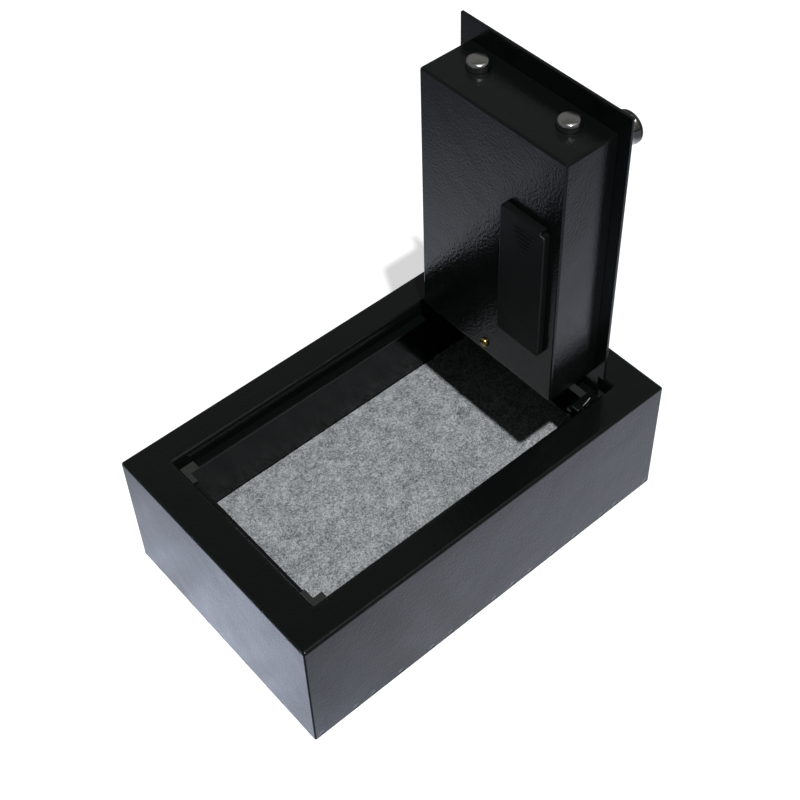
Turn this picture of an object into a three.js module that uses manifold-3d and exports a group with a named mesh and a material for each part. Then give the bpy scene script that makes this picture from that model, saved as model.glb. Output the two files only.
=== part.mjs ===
// Under desk drawer safe, lying on its back with the door open.
// Millimetres. X runs along the long side towards the hinge, Y across, Z up out of the opening.
// The origin is under the middle of the body. "left" pieces are on the +Y side.
// The door is drawn closed, about its hinge axis, and then turned open as a group.

import * as THREE from 'three';
import { mergeVertices } from 'three/addons/utils/BufferGeometryUtils.js';
import Module from 'manifold-3d';

const wasm = await Module();
wasm.setup();

// Body: one folded sheet with a broad front bezel round the door opening
const BODY_LENGTH = 300;
const BODY_WIDTH = 187;
const BODY_HEIGHT = 100;
const BODY_SHEET = 1.5;
const OPENING_LENGTH = 250;
const OPENING_WIDTH = 142;

// Clearances between pieces that touch, and between pieces that turn in one another
const SEAT_GAP = 0.3;
const RUNNING_GAP = 0.3;
const OVERRUN = 5;

// Door plate and how deep it lies in the frame when closed
const PLATE_THICKNESS = 2;
const DOOR_RECESS = 8;
const PLATE_END_GAP = 1;
const PLATE_SIDE_GAP = 2;
const PLATE_TAIL = 8.5;
const DOOR_OPEN_ANGLE = Math.PI / 2;

// Hinge axis, measured from the plate's outer face and from the opening's hinge end
const PIVOT_DEPTH = 6;
const PIVOT_INSET = 11;

// Where a piece's far side is worked out from the frame
const OPENING_END = OPENING_LENGTH / 2;
const OPENING_SIDE = OPENING_WIDTH / 2;
const PIVOT_X = OPENING_END - PIVOT_INSET;
const PIVOT_Z = BODY_HEIGHT - DOOR_RECESS - PIVOT_DEPTH;

// Facets round a full turn
const ROUND = 40;
const SMALL_ROUND = 24;
const CORNER_STEPS = 5;

const SIDES = [
  ['left', 1],
  ['right', -1],
];

// Colours and finishes: colour, roughness, and 1 for metal or 0 for anything else
const finish = (color, roughness, metalness) => () => new THREE.MeshStandardMaterial({
  color,
  roughness,
  metalness,
});
const blackPaint = finish(0x17181a, 0.35, 0);
const chrome = finish(0xc9ccd0, 0.12, 1);
const zincSteel = finish(0xb4b6b8, 0.35, 1);
const yellowZinc = finish(0xb99b5a, 0.3, 1);
const brass = finish(0xc2a05a, 0.3, 1);
const blackPlastic = finish(0x141415, 0.55, 0);
const greyPlastic = finish(0x8d9096, 0.5, 0);
const darkWindow = finish(0x2a0c0c, 0.1, 0);
const felt = finish(0x9b9da0, 1, 0);
const greyFoam = finish(0x45463f, 0.9, 0);
const boardGreen = finish(0x1d5a34, 0.5, 0);
const cellSleeve = finish(0x5a6b7d, 0.35, 0);

const safe = new THREE.Group();
const door = new THREE.Group();
door.position.set(PIVOT_X, 0, PIVOT_Z);
door.rotation.y = DOOR_OPEN_ANGLE;
safe.add(door);

// A closed three.js geometry as a solid that can be joined and cut
function toSolid(geometry) {
  const plain = geometry.clone();
  plain.deleteAttribute('normal');
  plain.deleteAttribute('uv');
  const merged = mergeVertices(plain);
  const mesh = new wasm.Mesh({
    numProp: 3,
    vertProperties: new Float32Array(merged.attributes.position.array),
    triVerts: new Uint32Array(merged.index.array),
  });
  return new wasm.Manifold(mesh);
}

function toGeometry(solid) {
  const mesh = solid.getMesh();
  const geometry = new THREE.BufferGeometry();
  geometry.setAttribute('position', new THREE.BufferAttribute(mesh.vertProperties, 3));
  geometry.setIndex(new THREE.BufferAttribute(mesh.triVerts, 1));
  return geometry;
}

function join(first, ...others) {
  const solid = others.reduce((sum, next) => sum.add(toSolid(next)), toSolid(first));
  return toGeometry(solid);
}

function cut(first, ...others) {
  const solid = others.reduce((rest, next) => rest.subtract(toSolid(next)), toSolid(first));
  return toGeometry(solid);
}

// A box from the low and high end of its span along each axis
function block([x0, x1], [y0, y1], [z0, z1]) {
  const geometry = new THREE.BoxGeometry(x1 - x0, y1 - y0, z1 - z0);
  geometry.translate((x0 + x1) / 2, (y0 + y1) / 2, (z0 + z1) / 2);
  return geometry;
}

// A span of one axis by its middle and its size
function about(middle, size) {
  return [middle - size / 2, middle + size / 2];
}

// A span on one side of the middle plane, from its inner and outer distance
function onSide(sign, inner, outer) {
  return sign > 0 ? [inner, outer] : [-outer, -inner];
}

// A round bar along an axis ('x', 'y' or 'z') between two places on it
function bar(axis, radius, [from, to], facets = SMALL_ROUND) {
  const geometry = new THREE.CylinderGeometry(radius, radius, to - from, facets);
  geometry.translate(0, (from + to) / 2, 0);
  return along(axis, geometry);
}

// Turns a geometry made round +Y so that its axis is x, y or z, pointing the positive way
function along(axis, geometry) {
  if (axis === 'x') geometry.rotateZ(-Math.PI / 2);
  if (axis === 'z') geometry.rotateX(Math.PI / 2);
  return geometry;
}

// A turned piece from its half section, as [radius, place along the axis] from low to high
function turned(axis, section, facets = ROUND) {
  const points = section.map(([radius, place]) => new THREE.Vector2(radius, place));
  return along(axis, new THREE.LatheGeometry(points, facets));
}

// A rectangle with rounded corners, as an outline in its own plane
function roundedOutline([x0, x1], [y0, y1], radius, path = new THREE.Shape()) {
  path.moveTo(x0 + radius, y0);
  path.lineTo(x1 - radius, y0);
  path.absarc(x1 - radius, y0 + radius, radius, -Math.PI / 2, 0, false);
  path.lineTo(x1, y1 - radius);
  path.absarc(x1 - radius, y1 - radius, radius, 0, Math.PI / 2, false);
  path.lineTo(x0 + radius, y1);
  path.absarc(x0 + radius, y1 - radius, radius, Math.PI / 2, Math.PI, false);
  path.lineTo(x0, y0 + radius);
  path.absarc(x0 + radius, y0 + radius, radius, Math.PI, Math.PI * 1.5, false);
  return path;
}

// A flat piece of an outline in X and Y, between two heights
function slab(outline, [z0, z1]) {
  const geometry = new THREE.ExtrudeGeometry(outline, {
    depth: z1 - z0,
    bevelEnabled: false,
    curveSegments: CORNER_STEPS,
  });
  geometry.translate(0, 0, z0);
  return geometry;
}

function place(parent, name, geometry, material) {
  geometry.computeVertexNormals();
  const mesh = new THREE.Mesh(geometry, material);
  mesh.name = name;
  parent.add(mesh);
  return mesh;
}

// Heights in the frame that the door, pads, lip and return flange share
const PAD_THICKNESS = 1.5;
const CLOSED_PLATE_UNDERSIDE = BODY_HEIGHT - DOOR_RECESS - PLATE_THICKNESS;
const PAD_TOP = CLOSED_PLATE_UNDERSIDE - SEAT_GAP;
const LIP_TOP = PAD_TOP - PAD_THICKNESS - SEAT_GAP;
const RETURN_BOTTOM = LIP_TOP + SEAT_GAP;
const BEZEL_UNDERSIDE = BODY_HEIGHT - BODY_SHEET;
const RETURN_BACK_END = OPENING_END + BODY_SHEET;
const RETURN_BACK_SIDE = OPENING_SIDE + BODY_SHEET;

// Body shell: walls, bezel and the return flanges folded down round the opening
function bodyShell() {
  const outside = block(about(0, BODY_LENGTH), about(0, BODY_WIDTH), [0, BODY_HEIGHT]);
  const hollowLength = BODY_LENGTH - 2 * BODY_SHEET;
  const hollowWidth = BODY_WIDTH - 2 * BODY_SHEET;
  const hollow = block(about(0, hollowLength), about(0, hollowWidth), [-OVERRUN, BEZEL_UNDERSIDE]);
  const flanges = block(
    about(0, 2 * RETURN_BACK_END),
    about(0, 2 * RETURN_BACK_SIDE),
    [RETURN_BOTTOM, BODY_HEIGHT],
  );
  const opening = block(
    about(0, OPENING_LENGTH),
    about(0, OPENING_WIDTH),
    [RETURN_BOTTOM - OVERRUN, BODY_HEIGHT + OVERRUN],
  );
  place(safe, 'body_shell', cut(join(cut(outside, hollow), flanges), opening), blackPaint());
}

// Back panel: a sheet let in between the walls, with four anchor holes
const ANCHOR_HOLE_RADIUS = 4;
const ANCHOR_SPACING_X = 180;
const ANCHOR_SPACING_Y = 110;

function backPanel() {
  const length = BODY_LENGTH - 2 * (BODY_SHEET + SEAT_GAP);
  const width = BODY_WIDTH - 2 * (BODY_SHEET + SEAT_GAP);
  const sheet = block(about(0, length), about(0, width), [0, BODY_SHEET]);
  const holes = [];
  for (const signX of [-1, 1]) {
    for (const signY of [-1, 1]) {
      const hole = bar('z', ANCHOR_HOLE_RADIUS, [-OVERRUN, BODY_SHEET + OVERRUN]);
      hole.translate((signX * ANCHOR_SPACING_X) / 2, (signY * ANCHOR_SPACING_Y) / 2, 0);
      holes.push(hole);
    }
  }
  place(safe, 'back_panel', cut(sheet, ...holes), blackPaint());
}

// Felt liner: laid wall to wall on the back panel
const LINER_THICKNESS = 3;
const LINER_EDGE_GAP = 0.5;

function feltLiner() {
  const edge = 2 * (BODY_SHEET + LINER_EDGE_GAP);
  const bottom = BODY_SHEET + SEAT_GAP;
  const sheet = block(
    about(0, BODY_LENGTH - edge),
    about(0, BODY_WIDTH - edge),
    [bottom, bottom + LINER_THICKNESS],
  );
  place(safe, 'felt_liner', sheet, felt());
}

// Stop strips: angles spot welded behind the return flanges, whose feet make the lip
const STRIP_SHEET = 1.5;
const LIP_SIDE_WIDTH = 6;
const LIP_END_WIDTH = 6;
const STRIP_HINGE_CLEARANCE = 29;
const LIP_BOTTOM = LIP_TOP - STRIP_SHEET;
const STRIP_BACK_SIDE = RETURN_BACK_SIDE + SEAT_GAP + STRIP_SHEET;
const STRIP_BACK_END = RETURN_BACK_END + SEAT_GAP + STRIP_SHEET;
const STRIP_TOP = BEZEL_UNDERSIDE - SEAT_GAP;
const LIP_INNER_SIDE = OPENING_SIDE - LIP_SIDE_WIDTH;
const LIP_INNER_END = OPENING_END - LIP_END_WIDTH;

function stopStrips() {
  const longSpan = [-LIP_INNER_END + SEAT_GAP, OPENING_END - STRIP_HINGE_CLEARANCE];
  for (const [side, sign] of SIDES) {
    const foot = block(longSpan, onSide(sign, LIP_INNER_SIDE, STRIP_BACK_SIDE), [LIP_BOTTOM, LIP_TOP]);
    const web = block(
      longSpan,
      onSide(sign, STRIP_BACK_SIDE - STRIP_SHEET, STRIP_BACK_SIDE),
      [LIP_BOTTOM, STRIP_TOP],
    );
    place(safe, `stop_strip_${side}`, join(foot, web), blackPaint());
  }
  const acrossSpan = about(0, 2 * STRIP_BACK_SIDE);
  const foot = block([-STRIP_BACK_END, -LIP_INNER_END], acrossSpan, [LIP_BOTTOM, LIP_TOP]);
  const web = block([-STRIP_BACK_END, -STRIP_BACK_END + STRIP_SHEET], acrossSpan, [LIP_BOTTOM, STRIP_TOP]);
  place(safe, 'stop_strip_end', join(foot, web), blackPaint());
}

// Corner pads: L-shaped foam, cut by hand, on the lip in the two corners at the free end
const PAD_LENGTHWISE_REACH = 13;
const PAD_CROSSWISE_WIDTH = 6.3;
const PAD_LEFT_WIDTH = 7.2;
const PAD_LEFT_REACH = 14.5;
const PAD_RIGHT_WIDTH = 9.5;
const PAD_RIGHT_REACH = 17.5;

function cornerPads() {
  const cornerX = -OPENING_END + SEAT_GAP;
  const cornerY = OPENING_SIDE - SEAT_GAP;
  const height = [PAD_TOP - PAD_THICKNESS, PAD_TOP];
  for (const [side, sign] of SIDES) {
    const width = sign > 0 ? PAD_LEFT_WIDTH : PAD_RIGHT_WIDTH;
    const reach = sign > 0 ? PAD_LEFT_REACH : PAD_RIGHT_REACH;
    const lengthwise = block(
      [cornerX, cornerX + PAD_LENGTHWISE_REACH],
      onSide(sign, cornerY - width, cornerY),
      height,
    );
    const crosswise = block(
      [cornerX, cornerX + PAD_CROSSWISE_WIDTH],
      onSide(sign, cornerY - reach, cornerY),
      height,
    );
    place(safe, `corner_pad_${side}`, join(lengthwise, crosswise), greyFoam());
  }
}

// Hinge: ears on the door, lugs hung from the frame, a washer between them and a riveted pin.
// Each lug is folded over into a guard, level with the bezel, that covers the hinge.
const EAR_SHEET = 3;
const EAR_INSET = 9.8;
const LUG_SHEET = 3;
const WASHER_THICKNESS = 0.5;
const WASHER_RADIUS = 4.5;
const PIN_RADIUS = 2;
const PIN_HEAD_RADIUS = 3.6;
const PIN_HEAD_HEIGHT = 1.5;
const PIN_TAIL_HEIGHT = 0.8;
const LUG_RADIUS = 6;
const LUG_FOOT_DROP = 10;
const GUARD_SHEET = 1.5;
const GUARD_SINK = 0.3;
const GUARD_REACH = 19.5;
const GUARD_TAIL = 2;
const EAR_INNER = OPENING_SIDE - EAR_INSET;
const EAR_OUTER = EAR_INNER + EAR_SHEET;
const WASHER_INNER = EAR_OUTER + RUNNING_GAP;
const LUG_INNER = WASHER_INNER + WASHER_THICKNESS + RUNNING_GAP;
const LUG_OUTER = LUG_INNER + LUG_SHEET;
const PIN_HOLE_RADIUS = PIN_RADIUS + RUNNING_GAP;
const GUARD_INNER = LUG_INNER - SEAT_GAP;
const GUARD_OUTER = OPENING_SIDE - SEAT_GAP;
const GUARD_TOP = BODY_HEIGHT - GUARD_SINK;

function hingeLugs() {
  const spanX = about(PIVOT_X, 2 * LUG_RADIUS);
  const riserX = [PIVOT_X - LUG_RADIUS, PIVOT_X - GUARD_TAIL];
  const guardX = [PIVOT_X - GUARD_REACH, PIVOT_X - GUARD_TAIL];
  const footBottom = PIVOT_Z - LUG_FOOT_DROP;
  const backOuter = RETURN_BACK_SIDE + SEAT_GAP + LUG_SHEET;
  for (const [side, sign] of SIDES) {
    const tab = block(spanX, onSide(sign, LUG_INNER, LUG_OUTER), [footBottom, PIVOT_Z]);
    const eye = bar('y', LUG_RADIUS, onSide(sign, LUG_INNER, LUG_OUTER));
    eye.translate(PIVOT_X, 0, PIVOT_Z);
    const foot = block(spanX, onSide(sign, LUG_INNER, backOuter), [footBottom, footBottom + LUG_SHEET]);
    const back = block(spanX, onSide(sign, backOuter - LUG_SHEET, backOuter), [footBottom, STRIP_TOP]);
    const riser = block(riserX, onSide(sign, LUG_INNER, LUG_OUTER), [PIVOT_Z, GUARD_TOP]);
    const guard = block(guardX, onSide(sign, GUARD_INNER, GUARD_OUTER), [GUARD_TOP - GUARD_SHEET, GUARD_TOP]);
    const hole = bar('y', PIN_HOLE_RADIUS, onSide(sign, LUG_INNER - OVERRUN, LUG_OUTER + OVERRUN));
    hole.translate(PIVOT_X, 0, PIVOT_Z);
    const lug = cut(join(tab, eye, foot, back, riser, guard), hole);
    place(safe, `hinge_lug_${side}`, lug, blackPaint());
  }
}

function hingePins() {
  const headFace = EAR_INNER - RUNNING_GAP;
  const tailFace = LUG_OUTER + RUNNING_GAP;
  for (const [side, sign] of SIDES) {
    const places = [
      [0, headFace - PIN_HEAD_HEIGHT],
      [PIN_HEAD_RADIUS, headFace - PIN_HEAD_HEIGHT],
      [PIN_HEAD_RADIUS, headFace],
      [PIN_RADIUS, headFace],
      [PIN_RADIUS, tailFace],
      [PIN_HEAD_RADIUS - RUNNING_GAP, tailFace],
      [PIN_HEAD_RADIUS - RUNNING_GAP, tailFace + PIN_TAIL_HEIGHT],
      [0, tailFace + PIN_TAIL_HEIGHT],
    ];
    const pin = turned('y', places, SMALL_ROUND);
    if (sign < 0) pin.rotateX(Math.PI);
    pin.translate(PIVOT_X, 0, PIVOT_Z);
    place(safe, `hinge_pin_${side}`, pin, zincSteel());

    const ring = bar('y', WASHER_RADIUS, onSide(sign, WASHER_INNER, WASHER_INNER + WASHER_THICKNESS));
    const hole = bar('y', PIN_HOLE_RADIUS, onSide(sign, EAR_OUTER, LUG_INNER));
    const washer = cut(ring, hole);
    washer.translate(PIVOT_X, 0, PIVOT_Z);
    place(safe, `hinge_washer_${side}`, washer, zincSteel());
  }
}

// From here on everything is on the door and drawn with the door closed:
// X from the hinge axis, negative towards the free end, Z outwards from the hinge axis.
const PLATE_OUTER = PIVOT_DEPTH;
const PLATE_INNER = PLATE_OUTER - PLATE_THICKNESS;
const PLATE_FREE_END = -(PIVOT_X + OPENING_END - PLATE_END_GAP);
const PLATE_SIDE = OPENING_SIDE - PLATE_SIDE_GAP;
const PLATE_NOTCH_REACH = 24;
const PLATE_NOTCH_SIDE = EAR_OUTER + RUNNING_GAP;

// Keypad, key lock and knob places on the plate, measured from the hinge axis and the middle plane
const KEYPAD_X = -130;
const KNOB_X = -207;
const KNOB_SIDE_INSET = 22;
const KNOB_Y = -(PLATE_SIDE - KNOB_SIDE_INSET);
const KEY_LOCK_X = -56;
const CABLE_HOLE_LENGTH = 12;
const CABLE_HOLE_WIDTH = 24;
const SPINDLE_RADIUS = 3;
const BARREL_RADIUS = 6;

function doorPlate() {
  const sheet = block([PLATE_FREE_END, PLATE_TAIL], about(0, 2 * PLATE_SIDE), [PLATE_INNER, PLATE_OUTER]);
  const through = [PLATE_INNER - OVERRUN, PLATE_OUTER + OVERRUN];
  const notches = SIDES.map(([, sign]) => block(
    [-PLATE_NOTCH_REACH, PLATE_TAIL + OVERRUN],
    onSide(sign, PLATE_NOTCH_SIDE, PLATE_SIDE + OVERRUN),
    through,
  ));
  const spindleHole = bar('z', SPINDLE_RADIUS + RUNNING_GAP, through);
  spindleHole.translate(KNOB_X, KNOB_Y, 0);
  const barrelHole = bar('z', BARREL_RADIUS + SEAT_GAP, through);
  barrelHole.translate(KEY_LOCK_X, 0, 0);
  const cableHole = block(about(KEYPAD_X, CABLE_HOLE_LENGTH), about(0, CABLE_HOLE_WIDTH), through);
  place(door, 'door_plate', cut(sheet, ...notches, spindleHole, barrelHole, cableHole), blackPaint());
}

// Ears, and the short flange folded square to the door between them, which stiffens its hinge end
const EAR_LENGTH = 9;
const EAR_DEPTH = 20;
const EAR_NOSE_RADIUS = 6.5;
const HINGE_FLANGE_SHEET = 2;
const HINGE_FLANGE_REACH = 5.2;

function doorEars() {
  const top = PLATE_INNER - SEAT_GAP;
  const topAngle = Math.asin(top / EAR_NOSE_RADIUS);
  const outline = new THREE.Shape();
  outline.moveTo(-EAR_LENGTH, top);
  outline.lineTo(-EAR_LENGTH, -EAR_DEPTH);
  outline.lineTo(-EAR_NOSE_RADIUS, -EAR_DEPTH);
  outline.lineTo(0, -EAR_NOSE_RADIUS);
  outline.absarc(0, 0, EAR_NOSE_RADIUS, -Math.PI / 2, topAngle, false);
  const hole = new THREE.Path();
  hole.absarc(0, 0, PIN_HOLE_RADIUS, 0, Math.PI * 2, true);
  outline.holes.push(hole);
  for (const [side, sign] of SIDES) {
    const ear = slab(outline, [0, EAR_SHEET]);
    ear.rotateX(Math.PI / 2);
    ear.translate(0, sign > 0 ? EAR_OUTER : -EAR_INNER, 0);
    place(door, `door_ear_${side}`, ear, blackPaint());
  }
  const flange = block(
    [-EAR_LENGTH, -EAR_LENGTH + HINGE_FLANGE_SHEET],
    about(0, 2 * (EAR_INNER - SEAT_GAP)),
    [top - HINGE_FLANGE_REACH, top],
  );
  place(door, 'hinge_flange', flange, blackPaint());
}

// Lock housing: a tray whose rim stands on the plate's inner face
const HOUSING_DEPTH = 40.6;
const HOUSING_LENGTH = 197;
const HOUSING_SIDE_INSET = 8.5;
const HOUSING_SHEET = 1.2;
const HOUSING_HINGE_END = -26;
const HOUSING_FREE_END = HOUSING_HINGE_END - HOUSING_LENGTH;
const HOUSING_WIDTH = 2 * (PLATE_SIDE - HOUSING_SIDE_INSET);
const HOUSING_FRONT = PLATE_INNER - HOUSING_DEPTH;
const HOUSING_FRONT_INSIDE = HOUSING_FRONT + HOUSING_SHEET;
const HOUSING_RIM = PLATE_INNER - SEAT_GAP;

// Live bolts, and the places that the housing, carriage and bolts share
const BOLT_RADIUS = 7.5;
const BOLT_SIDE_INSET = 23.5;
const BOLT_AXIS_DEPTH = -11.2;
const BOLT_PROJECTION = 6;
const BOLT_LENGTH = 39;
const BOLT_EDGE_RADIUS = 3;
const BOLT_EDGE_STEPS = 4;
const BOLT_TRAVEL = 15;
const BOLT_SPACING = HOUSING_WIDTH - 2 * BOLT_SIDE_INSET;

// Battery cells and the box that holds them
const CELL_LENGTH = 49.5;
const CELL_RADIUS = 7.1;
const CELL_NUB_RADIUS = 2.6;
const CELL_NUB_HEIGHT = 1;
const CELL_GAP = 0.4;
const CONTACT_SHEET = 0.5;
const BOX_WALL = 1.2;
const ROW_SPACING = 2 * CELL_RADIUS + CELL_GAP;
const CONTACT_SPAN = 2 * CELL_LENGTH + 3 * CELL_GAP;
const BOX_INSIDE_LENGTH = CONTACT_SPAN + 2 * (CONTACT_SHEET + SEAT_GAP);
const BOX_LENGTH = BOX_INSIDE_LENGTH + 2 * BOX_WALL;
const BOX_INSIDE_WIDTH = 2 * ROW_SPACING + CELL_GAP;
const BOX_INSIDE_DEPTH = 2 * CELL_RADIUS + 2 * CELL_GAP;
const BOX_MOUTH = HOUSING_FRONT_INSIDE + SEAT_GAP;
const BOX_FLOOR = BOX_MOUTH + BOX_INSIDE_DEPTH;

// Battery cover over the box and over the battery opening in the housing's front
const COVER_END_SETBACK = 0.1;
const COVER_LENGTH = BOX_LENGTH - 2 * COVER_END_SETBACK;
const COVER_WIDTH = 36.6;
const COVER_THICKNESS = 4.7;
const COVER_HINGE_INSET = 39.5;
const COVER_SIDE_INSET = 8.7;
const COVER_CORNER_RADIUS = 2;
const COVER_LAP_LENGTH = 4;
const COVER_LAP_WIDTH = 1.8;
const COVER_SLIDE = 8;
const COVER_X = HOUSING_HINGE_END - COVER_HINGE_INSET - COVER_LENGTH / 2;
const COVER_Y = -(HOUSING_WIDTH / 2 - COVER_SIDE_INSET - COVER_WIDTH / 2);
const BATTERY_OPENING_LENGTH = COVER_LENGTH - 2 * COVER_LAP_LENGTH;
const BATTERY_OPENING_WIDTH = COVER_WIDTH - 2 * COVER_LAP_WIDTH;

// Housing screw and its post
const SCREW_X = -35;
const SCREW_RADIUS = 1.5;
const SCREW_HEAD_RADIUS = 3.3;
const SCREW_HEAD_HEIGHT = 2;
const SCREW_CROWN_RADIUS = 2.5;
const SCREW_RIM_HEIGHT = 0.6;
const SCREW_SHOULDER_HEIGHT = 1.6;
const SCREW_GRIP = 9;
const POST_RADIUS = 3.5;

function lockHousing() {
  const side = HOUSING_WIDTH / 2;
  const shell = block([HOUSING_FREE_END, HOUSING_HINGE_END], [-side, side], [HOUSING_FRONT, HOUSING_RIM]);
  const hollow = block(
    [HOUSING_FREE_END + HOUSING_SHEET, HOUSING_HINGE_END - HOUSING_SHEET],
    [-side + HOUSING_SHEET, side - HOUSING_SHEET],
    [HOUSING_FRONT_INSIDE, HOUSING_RIM + OVERRUN],
  );
  const boltHoles = SIDES.map(([, sign]) => {
    const hole = bar('x', BOLT_RADIUS + RUNNING_GAP, about(HOUSING_FREE_END, 2 * OVERRUN), ROUND);
    hole.translate(0, (sign * BOLT_SPACING) / 2, BOLT_AXIS_DEPTH);
    return hole;
  });
  const throughFront = about(HOUSING_FRONT, 2 * OVERRUN);
  const batteryOpening = block(
    about(COVER_X, BATTERY_OPENING_LENGTH),
    about(COVER_Y, BATTERY_OPENING_WIDTH),
    throughFront,
  );
  const screwHole = bar('z', SCREW_RADIUS + RUNNING_GAP, throughFront);
  screwHole.translate(SCREW_X, 0, 0);
  const tray = cut(shell, hollow, ...boltHoles, batteryOpening, screwHole);
  place(door, 'lock_housing', tray, blackPaint());
}

function housingScrew() {
  const screwTip = HOUSING_FRONT + SCREW_GRIP;
  const underHead = HOUSING_FRONT - SEAT_GAP;
  const section = [
    [0, underHead - SCREW_HEAD_HEIGHT],
    [SCREW_CROWN_RADIUS, underHead - SCREW_SHOULDER_HEIGHT],
    [SCREW_HEAD_RADIUS, underHead - SCREW_RIM_HEIGHT],
    [SCREW_HEAD_RADIUS, underHead],
    [SCREW_RADIUS, underHead],
    [SCREW_RADIUS, screwTip],
    [0, screwTip],
  ];
  const screw = turned('z', section, SMALL_ROUND);
  screw.translate(SCREW_X, 0, 0);
  place(door, 'housing_screw', screw, yellowZinc());

  const postFoot = HOUSING_FRONT_INSIDE + SEAT_GAP;
  const post = bar('z', POST_RADIUS, [postFoot, PLATE_INNER - SEAT_GAP]);
  const threadHole = bar('z', SCREW_RADIUS + SEAT_GAP, [postFoot - OVERRUN, screwTip + RUNNING_GAP]);
  const drilled = cut(post, threadHole);
  drilled.translate(SCREW_X, 0, 0);
  place(door, 'housing_post', drilled, zincSteel());
}

// Bolt carriage: a plate that slides on two shoulder studs, with a flange that holds the bolts
const CARRIAGE_SHEET = 2;
const CARRIAGE_MARGIN = 3.5;
const CARRIAGE_WIDTH = BOLT_SPACING + 2 * (BOLT_RADIUS + CARRIAGE_MARGIN);
const CARRIAGE_FREE_END = HOUSING_FREE_END + HOUSING_SHEET + BOLT_TRAVEL + 2 * SEAT_GAP;
const CARRIAGE_HINGE_END = -150;
const CARRIAGE_FLANGE_DEPTH = 15.5;
const BOLT_TIP = HOUSING_FREE_END - BOLT_PROJECTION;
const BOLT_BACK = BOLT_TIP + BOLT_LENGTH;
const CARRIAGE_UNDERSIDE = BOLT_AXIS_DEPTH + BOLT_RADIUS + SEAT_GAP;
const CARRIAGE_TOP = CARRIAGE_UNDERSIDE + CARRIAGE_SHEET;

// Crank that the knob turns, with a drive pin in a cross slot of the carriage
const KNOB_TURN = THREE.MathUtils.degToRad(75);
const CRANK_THROW = BOLT_TRAVEL / 2 / Math.sin(KNOB_TURN / 2);
const CRANK_SHEET = 2;
const CRANK_BOTTOM = CARRIAGE_TOP + RUNNING_GAP;
const CRANK_HUB_RADIUS = 6;
const DRIVE_PIN_RADIUS = 2.5;
const CRANK_END_MARGIN = 1;
const CRANK_END_RADIUS = DRIVE_PIN_RADIUS + CRANK_END_MARGIN;
const SLOT_GAP = 0.6;

// Studs: their shanks hang from the plate through slots along the carriage
const STUD_X = -175;
const STUD_SPACING = 36;
const STUD_RADIUS = 2.5;
const STUD_HEAD_RADIUS = 4.5;
const STUD_HEAD_HEIGHT = 1.5;

function boltCarriage() {
  const plate = block(
    [CARRIAGE_FREE_END, CARRIAGE_HINGE_END],
    about(0, CARRIAGE_WIDTH),
    [CARRIAGE_UNDERSIDE, CARRIAGE_TOP],
  );
  const flangeStart = BOLT_BACK + SEAT_GAP;
  const flange = block(
    [flangeStart, flangeStart + CARRIAGE_SHEET],
    about(0, CARRIAGE_WIDTH),
    [CARRIAGE_UNDERSIDE - CARRIAGE_FLANGE_DEPTH, CARRIAGE_TOP],
  );
  const through = [CARRIAGE_UNDERSIDE - OVERRUN, CARRIAGE_TOP + OVERRUN];
  const studHalf = STUD_RADIUS + RUNNING_GAP;
  const studSlots = SIDES.map(([, sign]) => block(
    [STUD_X - studHalf, STUD_X + BOLT_TRAVEL + studHalf],
    about((sign * STUD_SPACING) / 2, 2 * studHalf),
    through,
  ));
  const slotHalf = DRIVE_PIN_RADIUS + SLOT_GAP;
  const slotX = KNOB_X + CRANK_THROW * Math.sin(KNOB_TURN / 2);
  const nearY = KNOB_Y + CRANK_THROW * Math.cos(KNOB_TURN / 2);
  const farY = KNOB_Y + CRANK_THROW;
  const driveSlot = block(
    about(slotX, 2 * slotHalf),
    [nearY - slotHalf, farY + slotHalf],
    through,
  );
  place(door, 'bolt_carriage', cut(join(plate, flange), ...studSlots, driveSlot), zincSteel());
}

function carriageStuds() {
  const headTop = CARRIAGE_UNDERSIDE - RUNNING_GAP;
  const section = [
    [0, headTop - STUD_HEAD_HEIGHT],
    [STUD_HEAD_RADIUS, headTop - STUD_HEAD_HEIGHT],
    [STUD_HEAD_RADIUS, headTop],
    [STUD_RADIUS, headTop],
    [STUD_RADIUS, PLATE_INNER - SEAT_GAP],
    [0, PLATE_INNER - SEAT_GAP],
  ];
  for (const [side, sign] of SIDES) {
    const stud = turned('z', section, SMALL_ROUND);
    stud.translate(STUD_X, (sign * STUD_SPACING) / 2, 0);
    place(door, `carriage_stud_${side}`, stud, zincSteel());
  }
}

function liveBolts() {
  const edge = BOLT_EDGE_RADIUS;
  const rim = BOLT_RADIUS - edge;
  const rounded = [];
  for (let step = 0; step <= BOLT_EDGE_STEPS; step += 1) {
    const angle = (step / BOLT_EDGE_STEPS) * (Math.PI / 2);
    rounded.push([rim + edge * Math.cos(angle), BOLT_LENGTH - edge + edge * Math.sin(angle)]);
  }
  for (const [side, sign] of SIDES) {
    const bolt = turned('x', [[0, 0], [BOLT_RADIUS, 0], ...rounded, [0, BOLT_LENGTH]]);
    bolt.rotateZ(Math.PI);
    bolt.translate(BOLT_BACK, (sign * BOLT_SPACING) / 2, BOLT_AXIS_DEPTH);
    place(door, `live_bolt_${side}`, bolt, chrome());
  }
}

// Knob on the outer face, its spindle through the plate, and the crank on the spindle's inner end
const KNOB_HEIGHT = 23.2;
const KNOB_RADIUS = 10.8;
const KNOB_NECK_RADIUS = 9.2;
const KNOB_SKIRT_HEIGHT = 3;
const KNOB_EDGE_RADIUS = 1.5;
const KNOB_BORE_DEPTH = 12;

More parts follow.
